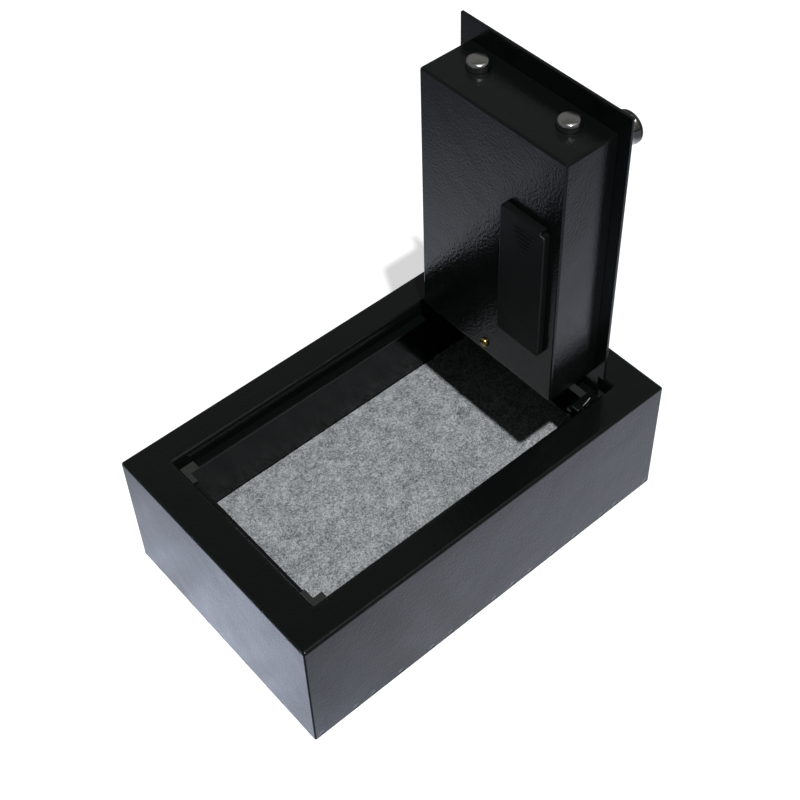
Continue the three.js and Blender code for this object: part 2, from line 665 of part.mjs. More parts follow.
function knobAndCrank() {
  const base = PLATE_OUTER + SEAT_GAP;
  const top = base + KNOB_HEIGHT;
  const section = [
    [0, base],
    [KNOB_RADIUS, base],
    [KNOB_RADIUS, base + KNOB_SKIRT_HEIGHT],
    [KNOB_NECK_RADIUS, base + 2 * KNOB_SKIRT_HEIGHT],
    [KNOB_NECK_RADIUS, top - 2 * KNOB_SKIRT_HEIGHT],
    [KNOB_RADIUS, top - KNOB_SKIRT_HEIGHT],
    [KNOB_RADIUS, top - KNOB_EDGE_RADIUS],
    [KNOB_RADIUS - KNOB_EDGE_RADIUS, top],
    [0, top],
  ];
  const bore = bar('z', SPINDLE_RADIUS + SEAT_GAP, [base - OVERRUN, base + KNOB_BORE_DEPTH]);
  const knob = cut(turned('z', section), bore);
  knob.translate(KNOB_X, KNOB_Y, 0);
  place(door, 'knob', knob, chrome());

  const crankTop = CRANK_BOTTOM + CRANK_SHEET;
  const spindle = bar('z', SPINDLE_RADIUS, [crankTop + SEAT_GAP, base + KNOB_BORE_DEPTH - SEAT_GAP]);
  spindle.translate(KNOB_X, KNOB_Y, 0);
  place(door, 'knob_spindle', spindle, zincSteel());

  const span = [CRANK_BOTTOM, crankTop];
  const hub = bar('z', CRANK_HUB_RADIUS, span);
  const arm = block(about(0, 2 * CRANK_END_RADIUS), [0, CRANK_THROW], span);
  const end = bar('z', CRANK_END_RADIUS, span);
  end.translate(0, CRANK_THROW, 0);
  const drivePin = bar('z', DRIVE_PIN_RADIUS, [CARRIAGE_UNDERSIDE + SEAT_GAP, crankTop]);
  drivePin.translate(0, CRANK_THROW, 0);
  const crank = join(hub, arm, end, drivePin);
  crank.rotateZ(-KNOB_TURN / 2);
  crank.translate(KNOB_X, KNOB_Y, 0);
  place(door, 'crank', crank, zincSteel());
}

// Solenoid whose plunger rises behind the carriage once the bolts are out
const SOLENOID_X = -157;
const SOLENOID_SIDE_INSET = 12;
const SOLENOID_Y = CARRIAGE_WIDTH / 2 - SOLENOID_SIDE_INSET;
const SOLENOID_LENGTH = 20;
const SOLENOID_WIDTH = 18;
const SOLENOID_HEIGHT = 20;
const PLUNGER_RADIUS = 3;
const PLUNGER_LENGTH = 20;
const PLUNGER_PULL = 3;

function solenoid() {
  const bottom = HOUSING_FRONT_INSIDE + SEAT_GAP;
  const body = block(
    about(SOLENOID_X, SOLENOID_LENGTH),
    about(SOLENOID_Y, SOLENOID_WIDTH),
    [bottom, bottom + SOLENOID_HEIGHT],
  );
  const tip = CARRIAGE_UNDERSIDE - RUNNING_GAP;
  const tail = tip - PLUNGER_LENGTH;
  const bore = bar('z', PLUNGER_RADIUS + RUNNING_GAP, [
    tail - PLUNGER_PULL - RUNNING_GAP,
    bottom + SOLENOID_HEIGHT + OVERRUN,
  ]);
  bore.translate(SOLENOID_X, SOLENOID_Y, 0);
  place(door, 'solenoid_coil', cut(body, bore), greyPlastic());

  const plunger = bar('z', PLUNGER_RADIUS, [tail, tip]);
  plunger.translate(SOLENOID_X, SOLENOID_Y, 0);
  place(door, 'solenoid_plunger', plunger, zincSteel());
}

// Battery box behind the opening, with two rows of two cells and a contact plate at each end
function batteryBox() {
  const outer = block(
    about(COVER_X, BOX_LENGTH),
    about(COVER_Y, BOX_INSIDE_WIDTH + 2 * BOX_WALL),
    [BOX_MOUTH, BOX_FLOOR + BOX_WALL],
  );
  const inside = block(
    about(COVER_X, BOX_INSIDE_LENGTH),
    about(COVER_Y, BOX_INSIDE_WIDTH),
    [BOX_MOUTH - OVERRUN, BOX_FLOOR],
  );
  place(door, 'battery_box', cut(outer, inside), blackPlastic());

  for (const [end, sign] of [['upper', -1], ['lower', 1]]) {
    const inner = CONTACT_SPAN / 2;
    const contact = block(
      onSide(sign, inner, inner + CONTACT_SHEET),
      about(0, BOX_INSIDE_WIDTH - 2 * SEAT_GAP),
      [BOX_MOUTH + SEAT_GAP, BOX_FLOOR - SEAT_GAP],
    );
    contact.translate(COVER_X, COVER_Y, 0);
    place(door, `contact_plate_${end}`, contact, zincSteel());
  }
}

function batteryCells() {
  const can = CELL_LENGTH - CELL_NUB_HEIGHT;
  const section = [
    [0, -CELL_LENGTH / 2],
    [CELL_RADIUS, -CELL_LENGTH / 2],
    [CELL_RADIUS, can - CELL_LENGTH / 2],
    [CELL_NUB_RADIUS, can - CELL_LENGTH / 2],
    [CELL_NUB_RADIUS, CELL_LENGTH / 2],
    [0, CELL_LENGTH / 2],
  ];
  const axisDepth = BOX_MOUTH + BOX_INSIDE_DEPTH / 2;
  let count = 1;
  for (const signY of [1, -1]) {
    for (const signX of [-1, 1]) {
      const cell = turned('x', section, SMALL_ROUND);
      if (signY < 0) cell.rotateZ(Math.PI);
      cell.translate(
        COVER_X + (signX * (CELL_LENGTH + CELL_GAP)) / 2,
        COVER_Y + (signY * ROW_SPACING) / 2,
        axisDepth,
      );
      place(door, `battery_cell_${count}`, cell, cellSleeve());
      count += 1;
    }
  }
}

// Cover: a rounded lid with a locating tongue that slides in the opening, and a notched corner
const COVER_NOTCH = 3;
const TONGUE_THICKNESS = 1;

function batteryCover() {
  const lidTop = HOUSING_FRONT - SEAT_GAP;
  const lid = slab(
    roundedOutline(about(COVER_X, COVER_LENGTH), about(COVER_Y, COVER_WIDTH), COVER_CORNER_RADIUS),
    [lidTop - COVER_THICKNESS, lidTop],
  );
  const notch = block(
    [COVER_X - COVER_LENGTH / 2 - OVERRUN, COVER_X - COVER_LENGTH / 2 + COVER_NOTCH],
    [COVER_Y - COVER_WIDTH / 2 - OVERRUN, COVER_Y - COVER_WIDTH / 2 + COVER_NOTCH],
    [lidTop - COVER_THICKNESS - OVERRUN, lidTop + OVERRUN],
  );
  const openingEnd = COVER_X + BATTERY_OPENING_LENGTH / 2;
  const tongue = block(
    [COVER_X - BATTERY_OPENING_LENGTH / 2 + RUNNING_GAP, openingEnd - COVER_SLIDE - RUNNING_GAP],
    about(COVER_Y, BATTERY_OPENING_WIDTH - 2 * RUNNING_GAP),
    [lidTop - COVER_THICKNESS / 2, lidTop + SEAT_GAP + TONGUE_THICKNESS],
  );
  place(door, 'battery_cover', cut(join(lid, tongue), notch), blackPlastic());
}

// Circuit board on the plate's inner face, with the buzzer on it
const BOARD_LENGTH = 48;
const BOARD_WIDTH = 60;
const BOARD_THICKNESS = 1.6;
const BOARD_X = -118;
const BUZZER_RADIUS = 7;
const BUZZER_HEIGHT = 6;
const BUZZER_X = -106;
const BUZZER_Y = 18;

function circuitBoard() {
  const boardTop = PLATE_INNER - SEAT_GAP;
  const boardBottom = boardTop - BOARD_THICKNESS;
  const board = block(about(BOARD_X, BOARD_LENGTH), about(0, BOARD_WIDTH), [boardBottom, boardTop]);
  place(door, 'circuit_board', board, boardGreen());
  const buzzerTop = boardBottom - SEAT_GAP;
  const buzzer = bar('z', BUZZER_RADIUS, [buzzerTop - BUZZER_HEIGHT, buzzerTop]);
  buzzer.translate(BUZZER_X, BUZZER_Y, 0);
  place(door, 'buzzer', buzzer, blackPlastic());
}

// Keypad panel on the outer face, with twelve keys and a display window
const PANEL_MARGIN = 7;
const PANEL_THICKNESS = 4;
const PANEL_CORNER_RADIUS = 4;
const WINDOW_LENGTH = 13;
const WINDOW_WIDTH = 44;
const WINDOW_THICKNESS = 2;
const KEY_LENGTH = 12;
const KEY_WIDTH = 14;
const KEY_PITCH_X = 16;
const KEY_PITCH_Y = 18;
const WINDOW_CORNER_RADIUS = 1.7;
const KEY_CORNER_RADIUS = 2;
const KEY_RISE = 1.2;
const KEY_TRAVEL = 1;
const KEY_FLOAT = 0.3;
const KEY_GAP = 0.3;
const KEY_NAMES = ['1', '2', '3', '4', '5', '6', '7', '8', '9', 'clear', '0', 'enter'];
const KEY_COLUMNS = 3;
const KEY_ROWS = KEY_NAMES.length / KEY_COLUMNS;
const KEY_FIELD_LENGTH = (KEY_ROWS - 1) * KEY_PITCH_X + KEY_LENGTH;
const KEY_FIELD_WIDTH = (KEY_COLUMNS - 1) * KEY_PITCH_Y + KEY_WIDTH;
const PANEL_LENGTH = 3 * PANEL_MARGIN + WINDOW_LENGTH + KEY_FIELD_LENGTH;
const PANEL_WIDTH = 2 * PANEL_MARGIN + KEY_FIELD_WIDTH;
const PANEL_BACK = PLATE_OUTER + SEAT_GAP;
const PANEL_FRONT = PANEL_BACK + PANEL_THICKNESS;
const WINDOW_X = KEYPAD_X - PANEL_LENGTH / 2 + PANEL_MARGIN + WINDOW_LENGTH / 2;
const FIRST_KEY_X = WINDOW_X + WINDOW_LENGTH / 2 + PANEL_MARGIN + KEY_LENGTH / 2;

function keyPlace(index) {
  const row = Math.floor(index / KEY_COLUMNS);
  const column = index % KEY_COLUMNS;
  return [FIRST_KEY_X + row * KEY_PITCH_X, (column - (KEY_COLUMNS - 1) / 2) * KEY_PITCH_Y];
}

function keypad() {
  const outline = roundedOutline(about(KEYPAD_X, PANEL_LENGTH), about(0, PANEL_WIDTH), PANEL_CORNER_RADIUS);
  const windowHole = roundedOutline(
    about(WINDOW_X, WINDOW_LENGTH + 2 * SEAT_GAP),
    about(0, WINDOW_WIDTH + 2 * SEAT_GAP),
    WINDOW_CORNER_RADIUS + SEAT_GAP,
    new THREE.Path(),
  );
  outline.holes.push(windowHole);
  KEY_NAMES.forEach((name, index) => {
    const [x, y] = keyPlace(index);
    const hole = roundedOutline(
      about(x, KEY_LENGTH + 2 * KEY_GAP),
      about(y, KEY_WIDTH + 2 * KEY_GAP),
      KEY_CORNER_RADIUS + KEY_GAP,
      new THREE.Path(),
    );
    outline.holes.push(hole);
    const cap = slab(
      roundedOutline(about(x, KEY_LENGTH), about(y, KEY_WIDTH), KEY_CORNER_RADIUS),
      [PLATE_OUTER + KEY_TRAVEL + KEY_FLOAT, PANEL_FRONT + KEY_RISE],
    );
    place(door, `key_${name}`, cap, greyPlastic());
  });
  place(door, 'keypad_panel', slab(outline, [PANEL_BACK, PANEL_FRONT]), blackPlastic());
  const pane = slab(
    roundedOutline(about(WINDOW_X, WINDOW_LENGTH), about(0, WINDOW_WIDTH), WINDOW_CORNER_RADIUS),
    [PANEL_BACK, PANEL_BACK + WINDOW_THICKNESS],
  );
  place(door, 'display_window', pane, darkWindow());
}

// Emergency key lock: a flanged barrel, the plug that turns in it with its cam, and a swinging cover
const BARREL_FLANGE_RADIUS = 9;
const BARREL_FLANGE_HEIGHT = 2;
const BARREL_LENGTH = 20;
const PLUG_RADIUS = 3.7;
const KEYWAY_WIDTH = 1.2;
const KEYWAY_LENGTH = 5;
const KEYWAY_DEPTH = 8;
const CAM_LENGTH = 15;
const CAM_WIDTH = 8;
const CAM_SHEET = 1.5;
const KEY_COVER_RADIUS = 12;
const KEY_COVER_THICKNESS = 2;
const KEY_COVER_SWING = 14;
const KEY_COVER_EYE_RADIUS = 3.5;
const COVER_STUD_RADIUS = 1.5;
const COVER_STUD_HEAD_RADIUS = 3;
const COVER_STUD_HEAD_HEIGHT = 1;

function keyLock() {
  const flangeBottom = PLATE_OUTER + SEAT_GAP;
  const flangeTop = flangeBottom + BARREL_FLANGE_HEIGHT;
  const barrelEnd = flangeTop - BARREL_LENGTH;
  const barrel = turned('z', [
    [0, barrelEnd],
    [BARREL_RADIUS, barrelEnd],
    [BARREL_RADIUS, flangeBottom],
    [BARREL_FLANGE_RADIUS, flangeBottom],
    [BARREL_FLANGE_RADIUS, flangeTop],
    [0, flangeTop],
  ]);
  const bore = bar('z', PLUG_RADIUS + RUNNING_GAP, [barrelEnd - OVERRUN, flangeTop + OVERRUN]);
  const drilled = cut(barrel, bore);
  drilled.translate(KEY_LOCK_X, 0, 0);
  place(door, 'key_barrel', drilled, chrome());

  const camTop = barrelEnd - RUNNING_GAP;
  const camSpan = [camTop - CAM_SHEET, camTop];
  const plug = bar('z', PLUG_RADIUS, [camTop - CAM_SHEET, flangeTop]);
  const keyway = block(
    about(0, KEYWAY_LENGTH),
    about(0, KEYWAY_WIDTH),
    [flangeTop - KEYWAY_DEPTH, flangeTop + OVERRUN],
  );
  const cam = block([-CAM_WIDTH / 2, CAM_LENGTH], about(0, CAM_WIDTH), camSpan);
  const turning = cut(join(plug, cam), keyway);
  turning.translate(KEY_LOCK_X, 0, 0);
  place(door, 'key_plug', turning, brass());

  const coverBottom = flangeTop + RUNNING_GAP;
  const coverSpan = [coverBottom, coverBottom + KEY_COVER_THICKNESS];
  const disc = bar('z', KEY_COVER_RADIUS, coverSpan, ROUND);
  const eye = bar('z', KEY_COVER_EYE_RADIUS, coverSpan);
  eye.translate(-KEY_COVER_SWING, 0, 0);
  const neck = block([-KEY_COVER_SWING, 0], about(0, 2 * KEY_COVER_EYE_RADIUS), coverSpan);
  const studHole = bar('z', COVER_STUD_RADIUS + RUNNING_GAP, [
    coverBottom - OVERRUN,
    coverBottom + KEY_COVER_THICKNESS + OVERRUN,
  ]);
  studHole.translate(-KEY_COVER_SWING, 0, 0);
  const cover = cut(join(disc, eye, neck), studHole);
  cover.translate(KEY_LOCK_X, 0, 0);
  place(door, 'key_cover', cover, blackPlastic());

  const headBottom = coverBottom + KEY_COVER_THICKNESS + RUNNING_GAP;
  const stud = turned('z', [
    [0, PLATE_OUTER + SEAT_GAP],
    [COVER_STUD_RADIUS, PLATE_OUTER + SEAT_GAP],
    [COVER_STUD_RADIUS, headBottom],
    [COVER_STUD_HEAD_RADIUS, headBottom],
    [COVER_STUD_HEAD_RADIUS, headBottom + COVER_STUD_HEAD_HEIGHT],
    [0, headBottom + COVER_STUD_HEAD_HEIGHT],
  ], SMALL_ROUND);
  stud.translate(KEY_LOCK_X - KEY_COVER_SWING, 0, 0);
  place(door, 'key_cover_stud', stud, zincSteel());
}

bodyShell();
backPanel();
feltLiner();
stopStrips();
cornerPads();
hingeLugs();
hingePins();
doorPlate();
doorEars();
lockHousing();
housingScrew();
boltCarriage();
carriageStuds();
liveBolts();
knobAndCrank();
solenoid();
batteryBox();
batteryCells();
batteryCover();
circuitBoard();
keypad();
keyLock();

export default safe;
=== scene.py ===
# Under desk drawer safe, lying on its back with the door standing open.
# The frame is in metres; the sizes below are in millimetres and are turned to metres by MM.
import math
import bmesh
import bpy
from mathutils import Matrix, Vector


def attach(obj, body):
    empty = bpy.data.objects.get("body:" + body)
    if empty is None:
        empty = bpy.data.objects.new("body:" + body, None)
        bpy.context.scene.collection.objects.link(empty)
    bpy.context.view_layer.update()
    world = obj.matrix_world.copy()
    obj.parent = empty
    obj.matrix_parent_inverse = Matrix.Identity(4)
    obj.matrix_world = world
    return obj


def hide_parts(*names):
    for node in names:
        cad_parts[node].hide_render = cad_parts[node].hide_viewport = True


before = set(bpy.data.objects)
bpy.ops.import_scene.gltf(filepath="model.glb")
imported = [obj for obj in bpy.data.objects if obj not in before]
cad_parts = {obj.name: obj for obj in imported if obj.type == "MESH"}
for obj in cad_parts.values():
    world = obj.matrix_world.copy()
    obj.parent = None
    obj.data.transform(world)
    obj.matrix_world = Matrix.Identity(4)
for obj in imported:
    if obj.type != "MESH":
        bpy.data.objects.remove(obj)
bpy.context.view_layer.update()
MM = 0.001
scene = bpy.context.scene
scene.view_settings.view_transform = "Standard"


# The camera
# It stands off the near corner of the body and looks down on it, as the photograph does.
# Its place, turn and lens were fitted to the body's edges; the shift only frames the picture.
lens = bpy.data.cameras.new("photo_lens")
lens.sensor_width = 36
lens.lens = 65.886
lens.shift_y = -0.075
camera = bpy.data.objects.new("photo_camera", lens)
camera.location = (-0.37713, -0.46822, 0.82689)
camera.rotation_euler = [math.radians(angle) for angle in (42.8258, 1.5054, -40.8957)]
scene.collection.objects.link(camera)
scene.camera = camera


# The studio
# A white paper floor, one lamp high over the camera's shoulder, and pale walls under a dim ceiling.
# The floor shows white to the eye, has a painted glow round the safe in reflections, and keeps the safe's
# shadow.
def linear(code):
    """An sRGB hex colour as the linear colour that the shaders take."""
    channels = [int(code[at:at + 2], 16) / 255 for at in (1, 3, 5)]
    return [c / 12.92 if c <= 0.04045 else ((c + 0.055) / 1.055) ** 2.4 for c in channels] + [1]


def node(tree, kind, links=None, **settings):
    """Adds a node, with its settings, and with each input either linked to a socket or set to a value."""
    made = tree.nodes.new("ShaderNode" + kind)
    for name, value in settings.items():
        setattr(made, name, value)
    for place, value in (links or {}).items():
        if isinstance(value, bpy.types.NodeSocket):
            tree.links.new(value, made.inputs[place])
        else:
            made.inputs[place].default_value = value
    return made


def start_material(name, **sockets):
    """A new material, its node tree and its shader, with the shader's sockets set by their names."""
    made = bpy.data.materials.new(name)
    made.use_nodes = True
    shader = made.node_tree.nodes["Principled BSDF"]
    for socket, value in sockets.items():
        shader.inputs[socket.replace("_", " ")].default_value = value
    return made, made.node_tree, shader


def per(size):
    """A texture's scale, in turns a metre, from the size of its pattern in millimetres."""
    return 1 / (size * MM)


# Matt seamless paper. Light is added where the eye meets it, so that it looks white and the shadow on it
# stays soft.
# In a reflection it has a painted glow, cool and uneven, in a pool round the safe and in a band that runs on
# before its free end. Both fade away from it, and away from the pool its colour is painted darker in
# reflections too
POOL_STRETCH = (1.34, 1.0, 0.0)
POOL_SHIFT = (0.0, -0.018, 0.0)
POOL_REACH = 0.388
POOL_GLOW = 0.54
BAND_HALF = 0.196
BAND_STARTS = (-0.1, -0.15)
BAND_GLOW = 0.9
FLOOR_GLOW = 0.19
EYE_GLOW = 0.6
paper, tree, shader = start_material("white_seamless_paper", Roughness=0.9)
path = node(tree, "LightPath")
mirrored = path.outputs["Is Glossy Ray"]
seen = node(tree, "Math", {0: path.outputs["Is Camera Ray"], 1: path.outputs["Is Transmission Ray"]},
            operation="MAXIMUM")
place = node(tree, "SeparateXYZ", {0: node(tree, "NewGeometry").outputs["Position"]})
before = node(tree, "Math", {0: place.outputs["X"], 1: 0.0}, operation="MINIMUM")
flat = node(tree, "CombineXYZ", {"X": before.outputs[0], "Y": place.outputs["Y"]})
spread = node(tree, "VectorMath", {0: flat.outputs[0], 1: POOL_STRETCH, 2: POOL_SHIFT},
              operation="MULTIPLY_ADD")
away = node(tree, "VectorMath", {0: spread.outputs[0]}, operation="LENGTH")
painted_pool = node(tree, "MapRange", {0: away.outputs["Value"], 1: 0.0, 2: POOL_REACH, 3: 1.0, 4: 0.0})
across = node(tree, "Math", {0: place.outputs["Y"]}, operation="ABSOLUTE")
across = node(tree, "MapRange", {0: across.outputs[0], 1: 0.0, 2: BAND_HALF, 3: 1.0, 4: 0.0})
ahead = node(tree, "MapRange", {0: before.outputs[0], 1: BAND_STARTS[0], 2: BAND_STARTS[1], 3: 0.0,
                                4: BAND_GLOW})
painted_band = node(tree, "Math", {0: across.outputs[0], 1: ahead.outputs[0], 2: FLOOR_GLOW},
            operation="MULTIPLY_ADD")
# Seen in a reflection, the paper is painted darker away from the pool, and the glow added there is a painted
# reflection
beyond = node(tree, "Math", {0: 1.0, 1: painted_pool.outputs[0]}, operation="SUBTRACT")
dimmed = node(tree, "Math", {0: mirrored, 1: beyond.outputs[0]}, operation="MULTIPLY")
tone = node(tree, "Mix", {0: dimmed.outputs[0], 6: linear("#CCCCCC"), 7: linear("#3A3A3A")}, data_type="RGBA")
tree.links.new(tone.outputs[2], shader.inputs["Base Color"])
cast = node(tree, "Mix", {0: mirrored, 6: linear("#FFFFFF"), 7: linear("#DAE5FF")}, data_type="RGBA")
tree.links.new(cast.outputs[2], shader.inputs["Emission Color"])
glow = node(tree, "Math", {0: painted_pool.outputs[0], 1: POOL_GLOW, 2: painted_band.outputs[0]}, operation="MULTIPLY_ADD")
uneven = node(tree, "TexNoise", {"Vector": flat.outputs[0], "Scale": per(38), "Detail": 2.0})
uneven = node(tree, "MapRange", {0: uneven.outputs["Fac"], 1: 0.35, 2: 0.65, 3: 0.82, 4: 1.18})
glow = node(tree, "Math", {0: uneven.outputs[0], 1: glow.outputs[0]}, operation="MULTIPLY")
glow = node(tree, "Math", {0: mirrored, 1: glow.outputs[0]}, operation="MULTIPLY")
lift = node(tree, "Math", {0: seen.outputs[0], 1: EYE_GLOW, 2: glow.outputs[0]}, operation="MULTIPLY_ADD")
tree.links.new(lift.outputs[0], shader.inputs["Emission Strength"])

FLOOR_HALF = 6.0
FLOOR_DROP = 0.2
sheet = bmesh.new()
bmesh.ops.create_grid(sheet, x_segments=8, y_segments=8, size=FLOOR_HALF)
sheet_data = bpy.data.meshes.new("paper_floor")
sheet.to_mesh(sheet_data)
sheet.free()
sheet_data.materials.append(paper)
floor = bpy.data.objects.new("paper_floor", sheet_data)
floor.location.z = -FLOOR_DROP * MM
scene.collection.objects.link(floor)

# The lamp's direction is that of the housing's shadow on the felt
LAMP_FROM = (-25.4, -47.9, 109.3)
lamp_data = bpy.data.lights.new("key_lamp", "SUN")
lamp_data.energy = 3.05
lamp_data.angle = math.radians(1.6)
lamp = bpy.data.objects.new("key_lamp", lamp_data)
lamp.rotation_euler = Vector(LAMP_FROM).to_track_quat("Z", "Y").to_euler()
scene.collection.objects.link(lamp)

# The room is dim. A soft box hangs before the safe, and round it the walls are paler than the ceiling;
# both only show as a shine, in the folds and on the chrome. To the eye the room is plain white
BOX_TOWARDS = (0.05, -0.25, 0.967)
BOX_GLOW = 0.5
ROOM_LIGHT = 0.11
world = bpy.data.worlds.new("studio_room")
world.use_nodes = True
tree = world.node_tree
direction = node(tree, "TexCoord").outputs["Generated"]
overhead = node(tree, "VectorMath", {0: direction, 1: BOX_TOWARDS}, operation="DOT_PRODUCT")
box = node(tree, "MapRange", {0: overhead.outputs["Value"], 1: 0.88, 2: 0.93, 3: 0.0, 4: BOX_GLOW})
height = node(tree, "SeparateXYZ", {0: direction}).outputs["Z"]
wall = node(tree, "MapRange", {0: height, 1: 0.05, 2: 0.3, 3: 0.03, 4: 0.19})
ceiling = node(tree, "MapRange", {0: height, 1: 0.7, 2: 0.86, 3: 0.0, 4: -0.1})
room = node(tree, "Math", {0: wall.outputs[0], 1: ceiling.outputs[0]}, operation="ADD")
shine = node(tree, "Math", {0: room.outputs[0], 1: box.outputs[0]}, operation="ADD")
path = node(tree, "LightPath")
level = node(tree, "Mix", {0: path.outputs["Is Glossy Ray"], 2: ROOM_LIGHT, 3: shine.outputs[0]},
             data_type="FLOAT")
seen = node(tree, "Math", {0: path.outputs["Is Camera Ray"], 1: path.outputs["Is Transmission Ray"]},
            operation="MAXIMUM")
level = node(tree, "Mix", {0: seen.outputs[0], 2: level.outputs[0], 3: 1.0}, data_type="FLOAT")
background = tree.nodes["Background"]
background.inputs["Color"].default_value = linear("#FFFFFF")
tree.links.new(level.outputs[0], background.inputs["Strength"])
scene.world = world


# Body shell
# One sheet of 1.5 mm steel, folded to four walls and a broad front bezel, with a flange turned down
# round the opening; the corners are welded and ground, and the whole is powder coated black.

# Polyester powder coat on steel: near black and glossy under a fine orange peel, so that it is dark
# where it faces the dim ceiling and grey where it mirrors the white floor at a slant
PEEL_SIZE = 1.6
PEEL_HEIGHT = 0.17
GRAIN_HEIGHT = 0.02
WAVE_SIZE = 55
WAVE_HEIGHT = 0.7
coat, tree, shader = start_material("black_powder_coat", IOR=1.46)
spot = node(tree, "TexCoord").outputs["Object"]
axes = node(tree, "SeparateXYZ", {0: spot})
peel = node(tree, "TexNoise", {"Vector": spot, "Scale": per(PEEL_SIZE), "Detail": 2.0, "Roughness": 0.5})
grain = node(tree, "TexNoise", {"Vector": spot, "Scale": per(0.7), "Detail": 1.0})
waves = node(tree, "TexNoise", {"Vector": spot, "Scale": per(WAVE_SIZE), "Detail": 2.0})
peel_height = node(tree, "Math", {0: peel.outputs["Fac"], 1: PEEL_HEIGHT * MM}, operation="MULTIPLY")
grain_height = node(tree, "Math", {0: grain.outputs["Fac"], 1: GRAIN_HEIGHT * MM, 2: peel_height.outputs[0]},
                    operation="MULTIPLY_ADD")
wave_height = node(tree, "Math", {0: waves.outputs["Fac"], 1: WAVE_HEIGHT * MM, 2: grain_height.outputs[0]},
                   operation="MULTIPLY_ADD")

# Shallow dents along the foot of the walls, where the back panel is spot welded on from inside
SPOT_PITCH = 20
SPOT_HEIGHT = 2.5
SPOT_RADIUS = 3
SPOT_DEPTH = 0.4
along_wall = node(tree, "Math", {0: axes.outputs["X"], 1: axes.outputs["Y"]}, operation="ADD")
spots = node(tree, "TexVoronoi", {"W": along_wall.outputs[0], "Scale": per(SPOT_PITCH), "Randomness": 0.7},
             voronoi_dimensions="1D")
off_spot = node(tree, "Math", {0: spots.outputs["Distance"], 1: SPOT_PITCH * MM}, operation="MULTIPLY")
off_foot = node(tree, "Math", {0: axes.outputs["Z"], 1: SPOT_HEIGHT * MM}, operation="SUBTRACT")
from_weld = node(tree, "VectorMath", {0: node(tree, "CombineXYZ", {
    "X": off_spot.outputs[0], "Y": off_foot.outputs[0]}).outputs[0]}, operation="LENGTH")
dent = node(tree, "MapRange", {0: from_weld.outputs["Value"], 1: 0.0, 2: SPOT_RADIUS * MM,
                               3: -SPOT_DEPTH * MM, 4: 0.0}, interpolation_type="SMOOTHSTEP")
dented = node(tree, "Math", {0: wave_height.outputs[0], 1: dent.outputs[0]}, operation="ADD")

# Grinding pits beside the welded top edge at the free end
PIT_SIZE = 3.4
PIT_DEPTH = 0.25
pits = node(tree, "TexVoronoi", {"Vector": spot, "Scale": per(PIT_SIZE)})
pit = node(tree, "MapRange", {0: pits.outputs["Distance"], 1: 0.1, 2: 0.35, 3: -PIT_DEPTH * MM, 4: 0.0})
near_end = node(tree, "MapRange", {0: axes.outputs["X"], 1: -150 * MM, 2: -146.5 * MM, 3: 1.0, 4: 0.0})
near_top = node(tree, "MapRange", {0: axes.outputs["Z"], 1: 96 * MM, 2: 99 * MM, 3: 0.0, 4: 1.0})
by_weld = node(tree, "Math", {0: near_end.outputs[0], 1: near_top.outputs[0]}, operation="MULTIPLY")
pitted = node(tree, "Math", {0: pit.outputs[0], 1: by_weld.outputs[0], 2: dented.outputs[0]},
              operation="MULTIPLY_ADD")
relief = node(tree, "Bump", {"Strength": 1.0, "Distance": 1.0, "Height": pitted.outputs[0]})
tree.links.new(relief.outputs[0], shader.inputs["Normal"])

# Handling leaves faint smears that are less glossy, and rubbed edges show thin coat and some steel
smears = node(tree, "TexNoise", {"Vector": spot, "Scale": per(38), "Detail": 5.0, "Distortion": 1.2})
gloss = node(tree, "MapRange", {0: smears.outputs["Fac"], 1: 0.35, 2: 0.7, 3: 0.1, 4: 0.2})
rub_and_highlight = node(tree, "Attribute", attribute_name="rub_and_highlight")
chips = node(tree, "TexNoise", {"Vector": spot, "Scale": per(3.5), "Detail": 6.0, "Roughness": 0.65})
rubbed = node(tree, "Math", {0: rub_and_highlight.outputs["Fac"], 1: chips.outputs["Fac"]}, operation="MULTIPLY")
bare = node(tree, "MapRange", {0: rubbed.outputs[0], 1: 0.5, 2: 0.62, 3: 0.0, 4: 1.0})
motes = node(tree, "TexVoronoi", {"Vector": spot, "Scale": per(16)})
mote = node(tree, "MapRange", {0: motes.outputs["Distance"], 1: 0.012, 2: 0.03, 3: 0.2, 4: 0.0})
paint = node(tree, "Mix", {0: mote.outputs[0], 6: linear("#090D0C"), 7: linear("#6E7072")}, data_type="RGBA")
paint = node(tree, "Mix", {0: bare.outputs[0], 6: paint.outputs[2], 7: linear("#77797A")}, data_type="RGBA")
tree.links.new(paint.outputs[2], shader.inputs["Base Color"])
finish = node(tree, "MapRange", {0: bare.outputs[0], 1: 0.0, 2: 1.0, 3: gloss.outputs[0], 4: 0.42})
tree.links.new(finish.outputs[0], shader.inputs["Roughness"])
dull = node(tree, "Attribute", attribute_name="dull")
thin = node(tree, "MapRange", {0: dull.outputs["Fac"], 3: 0.5, 4: 0.04})
tree.links.new(thin.outputs[0], shader.inputs["Specular IOR Level"])


def rounded(across, up, radius, steps=4):
    """A rectangle with rounded corners, anticlockwise, from its low and high end along two axes."""
    corners = ((across[1] - radius, up[1] - radius, 0), (across[0] + radius, up[1] - radius, 90),
               (across[0] + radius, up[0] + radius, 180), (across[1] - radius, up[0] + radius, 270))
    return [(a + radius * math.cos(math.radians(turn + 90 * step / steps)),
             b + radius * math.sin(math.radians(turn + 90 * step / steps)))
            for a, b, turn in corners for step in range(steps + 1)]


def loft(layers, axis="z", ring=False):
    """A closed skin over outlines stacked along z or x. A ring joins its last outline to its first."""
    skin = bmesh.new()
    loops = []
    for outline, place in layers:
        points = [(place, a, b) if axis == "x" else (a, b, place) for a, b in outline]
        loops.append([skin.verts.new([size * MM for size in point]) for point in points])
    count = len(loops[0])
    for low, high in zip(loops, loops[1:] + loops[:1] if ring else loops[1:]):
        for at in range(count):
            after = (at + 1) % count
            skin.faces.new((low[at], low[after], high[after], high[at]))
    if not ring:
        skin.faces.new(loops[0][::-1])
        skin.faces.new(loops[-1])
    bmesh.ops.recalc_face_normals(skin, faces=skin.faces)
    return skin


SHARP_FROM = 40


